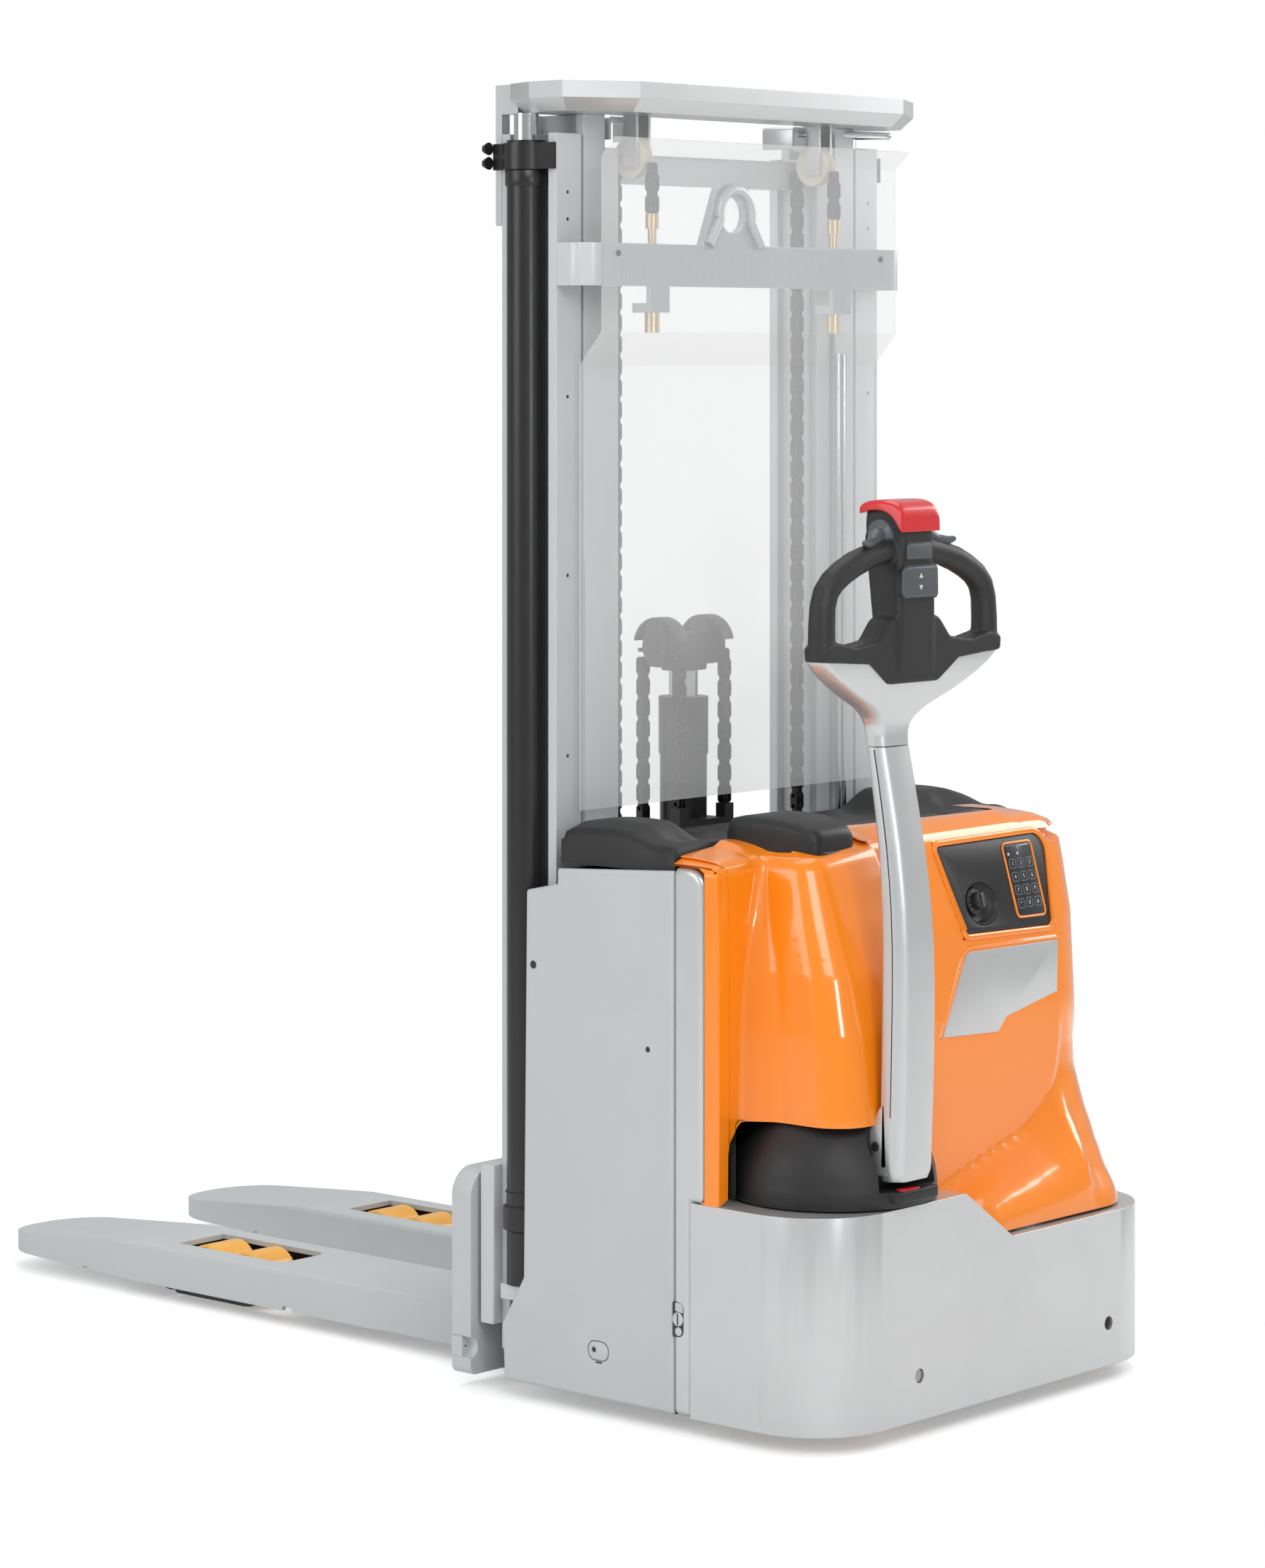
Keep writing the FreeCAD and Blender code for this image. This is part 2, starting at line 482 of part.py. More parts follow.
RIGHT_LEVELS = [  # height, rear y, inset of the outer side, corner radius
    (S.cover_bottom, S.cover_waist_y - 4, 5, 92), (S.cover_waist_height, S.cover_waist_y, -3, 96),
    (S.cover_mid_height, S.cover_mid_y, 0, 100), (S.cover_lean_height, S.cover_lean_y, 0, 100),
    (S.cover_top, S.cover_lean_top_y, 8, 88)]
cover.loft([(height, [(S.cover_right_start, S.cover_front), (S.cover_right_start, back),
                      (cover_right - inset, back, Size(corner, "%r" % corner)), (cover_right - inset, S.cover_front)])
            for height, back, inset, corner in RIGHT_LEVELS], ruled=True)
cover.fillet(S.cover_edge_radius, lambda edge: edge.BoundBox.ZMin > float(S.cover_top) - 0.01
             and edge.BoundBox.YMin < float(S.cover_front) - 1
             and edge.BoundBox.XMax > float(S.cover_right_start) + 1)
cover.loft([(height, ("circle", steer_x, y, radius)) for y, height, radius in (
    (S.steer_y, S.barrel_bottom, S.barrel_low_radius), (S.barrel_mid_y, S.barrel_mid_height, S.barrel_mid_radius),
    (S.barrel_high_y, S.barrel_high_height, S.barrel_high_radius), (S.barrel_top_y, S.cap_bottom, S.barrel_top_radius))])
for low, high in ((-half - 1, -half + S.column_width + 1), (half - S.column_width - 1, half + 1)):
    cover.cut("XY", S.skirt_low_top - 1, S.cover_top + 1, box_loop(low, high, S.column_rear, S.cover_front + 1))
cover.turn("Z", (steer_x, S.steer_y, 0),
           [(S.skirt_low_top - 1, 0), (S.skirt_low_top - 1, S.dome_radius + S.dome_gap),
            (S.dome_top + S.dome_gap, S.dome_radius + S.dome_gap), (S.barrel_bottom, S.barrel_low_radius),
            (S.barrel_bottom, 0)], cut=True)
cap_sides = [(S.cap_nose_half, S.cap_rear), (S.cap_half_width, S.cap_front)]
cover.cut("XY", S.cap_bottom, S.cover_top + 1,
          [(steer_x - S.cap_nose_half - S.cap_gap, S.cap_rear - 20),
           (steer_x + S.cap_nose_half + S.cap_gap, S.cap_rear - 20),
           (steer_x + S.cap_half_width + S.cap_gap, S.cap_front + 2),
           (steer_x - S.cap_half_width - S.cap_gap, S.cap_front + 2)])
node("rear_cover", cover)

control = Piece("control")
lean = (S.cover_lean_top_y - S.cover_lean_y) / (S.cover_top - S.cover_lean_height).value
panel_top_y = S.cover_lean_y + lean * (S.panel_top - S.cover_lean_height).value
control.pad("YZ", S.panel_left, S.panel_right,
            [(S.cover_lean_y - S.panel_depth, S.cover_lean_height), (S.cover_lean_y, S.cover_lean_height),
             (panel_top_y, S.panel_top), (panel_top_y - S.panel_depth, S.panel_top)])
control.cut("XZ", S.cover_lean_y - S.panel_depth - 1, S.cover_lean_top_y + 1,
            box_loop(S.panel_left - 1, S.panel_right + 1, S.cover_lean_height - 1, S.panel_top + 1),
            box_loop(S.panel_left, S.panel_right, S.cover_lean_height, S.panel_top, S.panel_radius))
knob_seat = S.cover_lean_y + lean * (S.knob_z - S.cover_lean_height).value
control.turn("Y", (S.knob_x, knob_seat, S.knob_z),
             [(-S.panel_depth - S.knob_height, 0), (-S.panel_depth - S.knob_height, S.knob_radius - 2),
              (-S.panel_depth - S.knob_height + 2, S.knob_radius), (-1 * S.knob_radius / 3, S.knob_radius),
              (-1 * S.knob_radius / 3, 0)])
node("control_panel", control)

cap = Piece("cap")
cap.pad("YZ", steer_x - S.cap_half_width, steer_x + S.cap_half_width,
        [(S.cap_rear, S.cap_bottom), (S.cap_front, S.cap_bottom), (S.cap_front, S.cap_front_top, 8),
         (S.cap_ridge_front, S.cap_top, 40), (S.cap_ridge_rear, S.cap_top, 80), (S.cap_rear + 4, S.cap_nose_top, 12)])
for side in (-1, 1):
    cap.cut("XY", S.cap_bottom - 1, S.cap_top + 1,
            [(steer_x + side * (S.cap_half_width + 1), S.cap_rear - 1),
             (steer_x + side * S.cap_nose_half, S.cap_rear - 1), (steer_x + side * S.cap_half_width, S.cap_front),
             (steer_x + side * (S.cap_half_width + 1), S.cap_front)])
cap.fillet(S.cap_edge, lambda edge: edge.BoundBox.ZMin > float(S.cap_nose_top) - 12
           and edge.BoundBox.YLength > 4 and edge.BoundBox.ZMax > float(S.cap_nose_top) - 2
           and abs(edge.CenterOfMass.x - float(steer_x)) > 20)
node("steering_cap", cap)

tray = Piece("tray")
tray.pad("XY", S.tray_bottom, S.tray_top,
         box_loop(-tray_half, tray_half, S.tray_rear, S.tray_front, S.tray_radius))
for side in (-1, 1):
    inner, outer = side * (tray_half - S.tray_end_width), side * tray_half
    low, high = (inner, outer) if side > 0 else (outer, inner)
    tray.pad("YZ", low, high,
             [(S.tray_rear, S.tray_top - 18), (S.tray_front, S.tray_top - 18),
              (S.tray_front, tray_dome_low - 4, 10), ((S.tray_dome_rear + S.tray_front) / 2 + 10, tray_end_top, 90),
              (S.tray_dome_rear - 10, tray_end_top - 2, 40), (S.tray_rear, tray_dome_low, 12)])
    tray.cut("XZ", S.tray_rear - 1, S.tray_front + 1,
             [(inner - side, S.tray_top), (inner, S.tray_top),
              (inner + side * S.tray_dome_slope, tray_end_top + 1), (inner - side, tray_end_top + 1)])
tray.fillet(S.tray_radius / 2, lambda edge: edge.BoundBox.XLength < 0.01
            and abs(abs(edge.BoundBox.XMin) - float(tray_half)) < 0.01 and edge.BoundBox.ZMin > float(S.tray_top) + 4)
node("tray_cover", tray)


# Outer mast
def rail(name, outer, inner, web_out, rear, front, bottom, top):
    """An I section rail on the left, with its web between web_out and web_out less its thickness."""
    piece = Piece(name)
    web_in = web_out - S.web_thick
    piece.pad("XY", bottom, top,
              [(-outer, rear), (-inner, rear), (-inner, rear + S.flange_thick), (-web_in, rear + S.flange_thick),
               (-web_in, front - S.flange_thick), (-inner, front - S.flange_thick), (-inner, front), (-outer, front),
               (-outer, front - S.flange_thick), (-web_out, front - S.flange_thick),
               (-web_out, rear + S.flange_thick), (-outer, rear + S.flange_thick)])
    return piece


outer_rail = rail("outer_rail", outer_rail_out, outer_rail_in, outer_web_out, S.rail_rear, S.rail_front,
                  S.outer_bottom, S.outer_top)
outer_rail.pad("XY", S.cylinder_bottom - S.cylinder_seat, S.cylinder_bottom,
               box_loop(-seat_half, -outer_web_out, S.rail_rear + S.flange_thick,
                        S.rail_front - S.flange_thick))
node("outer_mast_rails", outer_rail, mirrored(outer_rail))

crossbar = Piece("crossbar")
bend, thin = S.crossbar_bend, S.crossbar_thick
crossbar.pad("XY", S.crossbar_bottom, S.crossbar_top,
             [(-outer_rail_out, S.rail_rear), (-outer_rail_out, S.crossbar_rear + bend, 20),
              (-crossbar_half, S.crossbar_rear, 20), (crossbar_half, S.crossbar_rear, 20),
              (outer_rail_out, S.crossbar_rear + bend, 20), (outer_rail_out, S.rail_rear),
              (outer_rail_out - thin, S.rail_rear), (outer_rail_out - thin, S.crossbar_rear + bend + 4, 12),
              (crossbar_half - 4, S.crossbar_rear + thin, 12), (-crossbar_half + 4, S.crossbar_rear + thin, 12),
              (-outer_rail_out + thin, S.crossbar_rear + bend + 4, 12), (-outer_rail_out + thin, S.rail_rear)])
crossbar.pad("XZ", S.crossbar_rear, S.crossbar_rear + S.eye_thick,
             [(S.eye_centre - S.eye_base_half, S.crossbar_top), (S.eye_centre + S.eye_base_half, S.crossbar_top),
              (S.eye_centre + S.eye_hole_radius + 4, S.eye_top, S.eye_hole_radius / 2 + 4),
              (S.eye_centre - S.eye_hole_radius - 4, S.eye_top, S.eye_hole_radius / 2 + 4)])
crossbar.cut("XZ", S.crossbar_rear - 1, S.crossbar_rear + S.eye_thick + 1,
             ("circle", S.eye_centre, S.eye_hole_z, S.eye_hole_radius))
strand_y = S.sheave_y - S.sheave_radius
for side in (-1, 1):
    crossbar.pad("XZ", S.crossbar_rear, S.crossbar_rear + S.crossbar_thick,
                 box_loop(side * sheave_x - 22, side * sheave_x + 22, S.shelf_z, S.crossbar_bottom + 1))
    crossbar.pad("XY", S.shelf_z, S.shelf_z + S.shelf_thick,
                 box_loop(side * sheave_x - 22, side * sheave_x + 22, S.crossbar_rear, strand_y + 20),
                 ("circle", side * sheave_x, strand_y, S.anchor_radius + S.rod_clear))
node("mast_crossbar", crossbar)

foot = Piece("mast_foot")
foot.pad("XZ", S.foot_tie_rear, S.foot_tie_front,
         box_loop(-outer_rail_out, outer_rail_out, S.skirt_bottom + S.base_thick, S.foot_tie_top))
foot.pad("XZ", S.foot_tie_front, S.rail_rear,
         box_loop(-outer_rail_out, -outer_rail_in, S.outer_bottom, S.foot_tie_top),
         box_loop(outer_rail_in, outer_rail_out, S.outer_bottom, S.foot_tie_top))
node("mast_foot", foot)

bracket = Piece("mast_bracket")
bracket.pad("XY", S.bracket_bottom, S.bracket_top,
            box_loop(-outer_rail_out - S.bracket_half, -outer_rail_out + S.bracket_half, S.rail_front, S.bracket_front, 4))
node("mast_brackets", bracket, mirrored(bracket))

barrel = Piece("lift_barrel")
barrel.turn("Z", (-cylinder_x, S.cylinder_y, 0),
            [(S.cylinder_bottom, S.cylinder_bore - 10), (S.cylinder_bottom, S.cylinder_radius),
             (S.cylinder_top, S.cylinder_radius), (S.cylinder_top, S.rod_radius + S.rod_clear),
             (S.gland_bottom, S.rod_radius + S.rod_clear), (S.gland_bottom, S.cylinder_bore),
             (S.cylinder_bottom + 20, S.cylinder_bore), (S.cylinder_bottom + 20, S.cylinder_bore - 10)])
node("lift_cylinders", barrel, mirrored(barrel))

clamp = Piece("cylinder_clamp")
clamp.pad("XY", S.clamp_bottom, S.clamp_top, ("circle", -cylinder_x, S.cylinder_y, S.clamp_radius),
          ("circle", -cylinder_x, S.cylinder_y, S.cylinder_radius + S.axle_clear))
clamp.cut("XY", S.clamp_bottom - 1, S.clamp_top + 1,
          box_loop(-outer_rail_out, -cylinder_x + S.clamp_radius + 1, S.cylinder_y - S.clamp_radius - 1,
                   S.cylinder_y + S.clamp_radius + 1))
for low, high in ((S.rail_rear, S.cylinder_y - S.cylinder_radius - S.axle_clear),
                  (S.cylinder_y + S.cylinder_radius + S.axle_clear, S.rail_front + S.clamp_reach)):
    clamp.pad("XY", S.clamp_bottom, S.clamp_top,
              box_loop(-outer_rail_out - S.clamp_ear, -outer_rail_out, low, high))
node("cylinder_clamps", clamp, mirrored(clamp))

guard = Piece("guard")
t = S.guard_thick
guard.pad("YZ", -guard_half, guard_half,
          [(S.guard_flare_y, S.guard_flare_z), (S.guard_upper_y, S.guard_bend_z), (S.guard_upper_y, S.guard_upper_z),
           (S.guard_lower_y, S.guard_lower_z), (S.guard_lower_y, S.guard_bottom),
           (S.guard_lower_y + t, S.guard_bottom), (S.guard_lower_y + t, S.guard_lower_z + 2),
           (S.guard_upper_y + t, S.guard_upper_z + 2), (S.guard_upper_y + t, S.guard_bend_z + 1),
           (S.guard_flare_y + t, S.guard_flare_z + 2)])
node("mast_guard", guard)


def chain(name, x, y, bottom, top):
    """A leaf chain strand: a narrow core with a row of wider link plates along it."""
    piece = Piece(name)
    left, right = -x - S.chain_width / 2, -x + S.chain_width / 2
    core, wide = S.chain_thick / 2 - S.chain_waist / 2, S.chain_thick / 2
    piece.pad("XY", bottom, top, box_loop(left, right, y - core, y + core))
    links = (top - bottom) / S.chain_pitch
    links = Size(round(links.value), "round(%s)" % links.text)
    pitch = (top - bottom) / links
    plate = piece.pad("XY", bottom + pitch / 8, bottom + pitch * 7 / 8, box_loop(left, right, y - wide, y + wide))
    row = piece.new("PartDesign::LinearPattern")
    row.Originals = [plate]
    row.Direction = ([o for o in piece.body.Origin.OriginFeatures if o.Role == "Z_Axis"][0], [""])
    bind(row, "Length", top - bottom - pitch)
    bind(row, "Occurrences", links)
    piece.body.Tip = row
    return piece


front_strand_y = S.sheave_y + S.sheave_radius
anchor = Piece("chain_anchor")
anchor.turn("Z", (-sheave_x, strand_y, 0),
            [(S.shelf_z - S.nut_height, 0), (S.shelf_z - S.nut_height, S.nut_radius), (S.shelf_z, S.nut_radius),
             (S.shelf_z, S.anchor_radius), (S.chain_anchor_z - 22, S.anchor_radius), (S.chain_anchor_z - 22, 10),
             (S.chain_anchor_z, 10), (S.chain_anchor_z, 0)])
node("chain_anchors", anchor, mirrored(anchor))

rear_chain = chain("rear_chain", sheave_x, strand_y, S.chain_anchor_z, S.sheave_z)
node("lift_chain_rear", rear_chain, mirrored(rear_chain))


# Middle mast
middle_rail = rail("middle_rail", outer_rail_in - S.rail_gap, middle_rail_in, middle_web_out, S.rail_rear,
                   S.rail_front, S.middle_bottom, S.middle_top)
node("middle_mast_rails", middle_rail, mirrored(middle_rail))

plate = Piece("top_plate")
plate.pad("XY", S.middle_top, S.plate_top,
          [(-plate_rear_half, S.plate_rear), (plate_rear_half, S.plate_rear), (plate_half, S.plate_wide_y),
           (plate_half, S.plate_wide_front_y), (plate_front_half, S.plate_front),
           (-plate_front_half, S.plate_front), (-plate_half, S.plate_wide_front_y),
           (-plate_half, S.plate_wide_y)])
plate.chamfer(S.plate_bevel, edge_at(z=S.middle_top))
plate.cut("XY", S.middle_top - 1, S.plate_top + 1,
          box_loop(-1 * (middle_rail_in + 1), middle_rail_in + 1, S.inner_rear - S.rail_gap - 1, S.plate_front + 1))
near = S.sheave_width / 2 + S.hanger_gap
far = near + S.hanger_thick
for side in (-1, 1):
    for low, high in ((-far, -near), (near, far)):
        plate.pad("YZ", side * sheave_x + low, side * sheave_x + high,
                  box_loop(S.sheave_y - 20, S.sheave_y + 6, S.sheave_z - 14, S.middle_top + 1))
guide_y = S.rail_front + S.guide_gap
guide_out = outer_rail_out - S.guide_gap
for low, high in ((-guide_out, -guide_out + S.guide_width), (guide_out - S.guide_width, guide_out)):
    plate.pad("XY", S.middle_top, S.plate_top, box_loop(low, high, S.plate_front - 1, guide_y + S.guide_thick))
    plate.pad("XY", S.guide_bottom, S.middle_top + 1, box_loop(low, high, guide_y, guide_y + S.guide_thick))
node("mast_top_plate", plate)

tie = Piece("middle_tie")
tie.pad("XZ", S.middle_tie_rear, S.middle_tie_front,
        box_loop(-1 * (outer_rail_in - S.rail_gap), outer_rail_in - S.rail_gap, S.middle_tie_bottom,
                 S.middle_tie_top))
node("middle_mast_tie", tie)

pipe_y = S.rail_rear - S.seat_gap - S.fitting_radius
pipe_bottom = S.middle_tie_top + S.seat_gap
pipes = []
for place, name in ((pipe_x, "inner"), (pipe_x + S.pipe_pitch, "outer")):
    pipe = Piece("pipe_" + name)
    pipe.turn("Z", (place, pipe_y, 0),
              [(pipe_bottom, 0), (pipe_bottom, S.pipe_radius), (S.fitting_z, S.pipe_radius),
               (S.fitting_z, S.fitting_radius), (S.fitting_z + S.fitting_height, S.fitting_radius),
               (S.fitting_z + S.fitting_height, S.pipe_radius), (S.pipe_top, S.pipe_radius), (S.pipe_top, 0)])
    pipes.append(pipe)
node("hydraulic_pipes", *pipes)

hose_cover = Piece("hose_cover")
hose_cover.pad("YZ", -middle_rail_out, -middle_rail_in,
               box_loop(S.rail_rear - S.seat_gap - S.hose_cover_thick, S.rail_rear - S.seat_gap,
                        S.hose_cover_bottom, S.hose_cover_top))
node("hose_cover", hose_cover)

rod = Piece("lift_rod")
rod.turn("Z", (-cylinder_x, S.cylinder_y, 0),
         [(S.rod_bottom, 0), (S.rod_bottom, S.rod_radius), (S.middle_top, S.rod_radius), (S.middle_top, 0)])
node("lift_rods", rod, mirrored(rod))


def sheave(name, x, y, z, radius, groove, hub_out, hub_in):
    """A grooved sheave on a hub that reaches hub_out and hub_in from its middle."""
    piece = Piece(name)
    half_width = S.sheave_width / 2
    piece.turn("X", (-x, y, z),
               [(-hub_out, 0), (-hub_out, S.sheave_hub), (-half_width, S.sheave_hub), (-half_width, radius),
                (-half_width + 3, radius), (-half_width + 4, groove), (half_width - 4, groove),
                (half_width - 3, radius), (half_width, radius), (half_width, S.sheave_hub),
                (hub_in, S.sheave_hub), (hub_in, 0)])
    return piece


lift_sheave = sheave("lift_sheave", sheave_x, S.sheave_y, S.sheave_z, S.sheave_groove + 0, S.sheave_groove - 6,
                     near, near)
node("chain_sheaves", lift_sheave, mirrored(lift_sheave))

front_chain = chain("front_chain", sheave_x, front_strand_y, S.front_chain_bottom, S.sheave_z)
node("lift_chain_front", front_chain, mirrored(front_chain))


def mast_roller(name, web_out, z):
    piece = Piece(name)
    outer = web_out + S.mast_roller_width + 6
    piece.turn("X", (0, (S.rail_rear + S.rail_front) / 2, z),
               [(-outer, 0), (-outer, S.roller_radius), (-outer + S.mast_roller_width, S.roller_radius),
                (-outer + S.mast_roller_width, 12), (-web_out, 12), (-web_out, 0)])
    return piece


middle_roller = mast_roller("middle_roller", middle_web_out, S.middle_roller_z)
node("middle_mast_rollers", middle_roller, mirrored(middle_roller))


# Inner mast
inner_rail = rail("inner_rail", middle_rail_in - S.rail_gap, inner_rail_in, inner_web_out, S.inner_rear,
                  S.inner_front, S.inner_bottom, S.inner_top)
node("inner_mast_rails", inner_rail, mirrored(inner_rail))

inner_ties = Piece("inner_tie")
inner_ties.pad("XZ", S.inner_tie_rear, S.inner_tie_front,
               box_loop(-inner_rail_in, inner_rail_in, S.inner_tie_bottom, S.inner_tie_top))
inner_ties.pad("XY", S.foot_plate_bottom, S.foot_plate_top,
               box_loop(-inner_rail_in, inner_rail_in, S.inner_tie_rear, S.inner_front))
inner_ties.pad("XZ", S.inner_tie_rear, S.inner_tie_front,
               box_loop(-inner_rail_in, inner_rail_in, S.foot_plate_bottom, S.inner_tie_bottom))
inner_head = Piece("inner_head")
inner_head.pad("XZ", S.inner_head_rear, S.inner_head_front,
               box_loop(-inner_rail_in, inner_rail_in, S.inner_head_bottom, S.inner_head_top))
for side in (-1, 1):
    inner_ties.pad("XZ", S.inner_tie_front, S.sheave_y + S.sheave_radius + S.chain_thick / 2 + 3,
                   box_loop(side * sheave_x - 9, side * sheave_x + 9, S.inner_tie_top - 60,
                            S.front_chain_bottom))
node("inner_mast_ties", inner_ties, inner_head)

inner_roller = mast_roller("inner_roller", inner_web_out, S.middle_roller_z + 70)
node("inner_mast_rollers", inner_roller, mirrored(inner_roller))

free_barrel = Piece("free_barrel")
free_barrel.turn("Z", (0, S.free_y, 0),
                 [(S.free_bottom, 0), (S.free_bottom, S.free_radius), (S.free_barrel_top, S.free_radius),
                  (S.free_barrel_top, S.free_collar_radius), (S.free_collar_top, S.free_collar_radius),
                  (S.free_collar_top, S.free_rod_radius + S.rod_clear), (S.free_barrel_top, S.free_rod_radius + S.rod_clear),
                  (S.free_barrel_top, S.free_bore), (S.free_bottom + 20, S.free_bore), (S.free_bottom + 20, 0)])
node("free_lift_cylinder", free_barrel)

strand_rear_y = S.head_sheave_y - S.head_sheave_radius
strand_front_y = S.head_sheave_y + S.head_sheave_radius
free_anchor = Piece("free_anchor")
free_anchor.pad("XY", S.carriage_chain_bottom - 40, S.carriage_chain_bottom,
                box_loop(-1 * S.head_sheave_x - 10, -1 * S.head_sheave_x + 10, strand_rear_y - 9, strand_rear_y + 9))
free_anchor.pad("XY", S.carriage_chain_bottom - 40, S.carriage_chain_bottom - 20,
                box_loop(-1 * S.head_sheave_x + 10, 0, strand_rear_y - 9, S.free_y))
free_anchor.cut("XY", S.carriage_chain_bottom - 41, S.carriage_chain_bottom,
                ("circle", 0, S.free_y, S.free_radius))
node("free_lift_anchors", free_anchor, mirrored(free_anchor))

carriage_rear_chain = chain("carriage_rear_chain", S.head_sheave_x, strand_rear_y, S.carriage_chain_bottom,
                            S.head_sheave_z)
node("carriage_chain_rear", carriage_rear_chain, mirrored(carriage_rear_chain))


# Free-lift head
free_rod = Piece("free_rod")
free_rod.turn("Z", (0, S.free_y, 0),
              [(S.free_rod_bottom, 0), (S.free_rod_bottom, S.free_rod_radius), (S.head_bottom, S.free_rod_radius),
               (S.head_bottom, 0)])
node("free_lift_rod", free_rod)

head = Piece("free_head")
post, arch_x = 24, S.head_sheave_x + S.sheave_width / 2 + 3
head.pad("XY", S.head_bottom, S.head_top + 40,
         box_loop(-post, post, S.head_rear, S.head_front))
head.pad("YZ", -arch_x, arch_x, ("circle", S.head_sheave_y, S.head_sheave_z, S.arch_outer),
         ("circle", S.head_sheave_y, S.head_sheave_z, S.arch_inner))
head.cut("XY", S.head_sheave_z - S.arch_outer - 1, S.head_sheave_z + 8,
         box_loop(-arch_x - 1, -post, S.head_sheave_y - S.arch_outer - 1, S.head_sheave_y + S.arch_outer + 1),
         box_loop(post, arch_x + 1, S.head_sheave_y - S.arch_outer - 1, S.head_sheave_y + S.arch_outer + 1))
head.cut("XY", S.head_sheave_z - S.arch_outer - 1, S.head_bottom,
         box_loop(-arch_x - 1, arch_x + 1, S.head_sheave_y - S.arch_outer - 1, S.head_sheave_y + S.arch_outer + 1))
head.pad("XY", S.head_top + 38, S.head_sheave_z + S.arch_inner + 1,
         box_loop(-post, post, S.head_sheave_y - 12, S.head_sheave_y + 12))
node("free_lift_head", head)

head_sheave = sheave("head_sheave", S.head_sheave_x, S.head_sheave_y, S.head_sheave_z, S.head_sheave_groove + 0,
                     S.head_sheave_groove - 6, S.head_half - S.head_sheave_x, S.head_sheave_x - post)
node("free_lift_sheaves", head_sheave, mirrored(head_sheave))

carriage_front_chain = chain("carriage_front_chain", S.head_sheave_x, strand_front_y, S.carriage_chain_end,
                             S.head_sheave_z)
node("carriage_chain_front", carriage_front_chain, mirrored(carriage_front_chain))


# Carriage and forks
carriage = Piece("carriage")
carriage.pad("XZ", S.carriage_rear, S.carriage_front,
             [(-half, S.carriage_bottom, 12), (half, S.carriage_bottom, 12),
              (half, S.carriage_top, S.carriage_corner), (-half, S.carriage_top, S.carriage_corner)])
leg_half = S.fork_width / 2 - S.fork_wall - S.leg_gap
leg_top = S.fork_top - S.fork_wall - S.leg_gap
openings = [box_loop(side * S.fork_x - leg_half - S.leg_opening_gap, side * S.fork_x + leg_half + S.leg_opening_gap,
                     S.carriage_bottom - 1, leg_top + S.leg_opening_gap) for side in (-1, 1)]
carriage.cut("XZ", S.carriage_rear - 1, S.carriage_front + 1, *openings)
for edge_x in (-half, half):
    carriage.cut("XZ", S.carriage_rear - 1, S.carriage_front + 1,
                 ("circle", edge_x, S.notch_height, S.notch_radius))
for side in (-1, 1):
    carriage.pad("YZ", side * S.head_sheave_x - 10, side * S.head_sheave_x + 10,
                 box_loop(S.lug_rear, S.carriage_rear, S.lug_bottom, S.carriage_top),
                 )
    carriage.pad("YZ", side * S.head_sheave_x - 10, side * S.head_sheave_x + 10,
                 box_loop(S.lug_rear, S.lug_rear + 22, S.carriage_top, S.carriage_chain_end))
node("carriage_plate", carriage)

side_plate = Piece("roller_plate")
side_plate.pad("YZ", -side_plate_out, -side_plate_in,
               box_loop(S.side_plate_rear, S.carriage_rear, S.side_plate_bottom, S.carriage_top))
side_plate.pad("YZ", -side_plate_out, -side_plate_in,
               box_loop(S.side_plate_rear, S.side_plate_rear + 45, S.carriage_top, S.side_plate_top))
node("roller_plates", side_plate, mirrored(side_plate))

rollers = []
for name, z in (("low", S.carriage_roller_low), ("high", S.carriage_roller_high)):
    roller = Piece("carriage_roller_" + name)
    outer = inner_web_out - S.web_thick - S.rail_gap
    roller.turn("X", (0, S.carriage_roller_y, z),
                [(-outer, 0), (-outer, S.carriage_roller_radius),
                 (-outer + S.carriage_roller_width, S.carriage_roller_radius),
                 (-outer + S.carriage_roller_width, S.axle_radius), (-side_plate_out, S.axle_radius),
                 (-side_plate_out, 0)])
    rollers += [roller, mirrored(roller)]
node("carriage_rollers", *rollers)

fork = Piece("fork")
x, w = -1 * S.fork_x, S.fork_width / 2
fork.pad("XY", S.fork_bottom, S.fork_top,
         [(x - w, S.carriage_front), (x + w, S.carriage_front), (x + w, S.fork_tip, S.fork_tip_radius),
          (x - w, S.fork_tip, S.fork_tip_radius)])
fork.fillet(S.fork_edge_radius, lambda edge: edge.BoundBox.ZMin > float(S.fork_top) - 0.01
            and edge.BoundBox.YMax > float(S.carriage_front) + 1)
fork.cut("YZ", x - w - 1, x + w + 1,
         [(S.fork_tip - S.fork_tip_slope, S.fork_top), (S.fork_tip + 1, S.fork_top - S.fork_tip_drop),
          (S.fork_tip + 1, S.fork_top + 1), (S.fork_tip - S.fork_tip_slope, S.fork_top + 1)])
fork.cut("YZ", x - w - 1, x + w + 1,
         [(S.fork_tip - S.fork_tip_slope, S.fork_bottom), (S.fork_tip + 1, S.fork_bottom + S.fork_tip_rise),
          (S.fork_tip + 1, S.fork_bottom - 1), (S.fork_tip - S.fork_tip_slope, S.fork_bottom - 1)])
inner_w = w - S.fork_wall
fork.cut("XY", S.fork_bottom - 1, S.fork_top - S.fork_wall,
         [(x - inner_w, S.carriage_front - 1), (x + inner_w, S.carriage_front - 1),
          (x + inner_w, S.leg_tip + 40), (x - inner_w, S.leg_tip + 40)])
for notch_y in (S.fork_notch_rear, S.fork_notch_front):
    fork.cut("YZ", x - w - 1, x + w + 1,
             [(notch_y - S.notch_half, S.fork_bottom - 1), (notch_y + S.notch_half, S.fork_bottom - 1),
              (notch_y + S.notch_half - 3, S.fork_bottom + S.notch_depth, 2),
              (notch_y - S.notch_half + 3, S.fork_bottom + S.notch_depth, 2)])
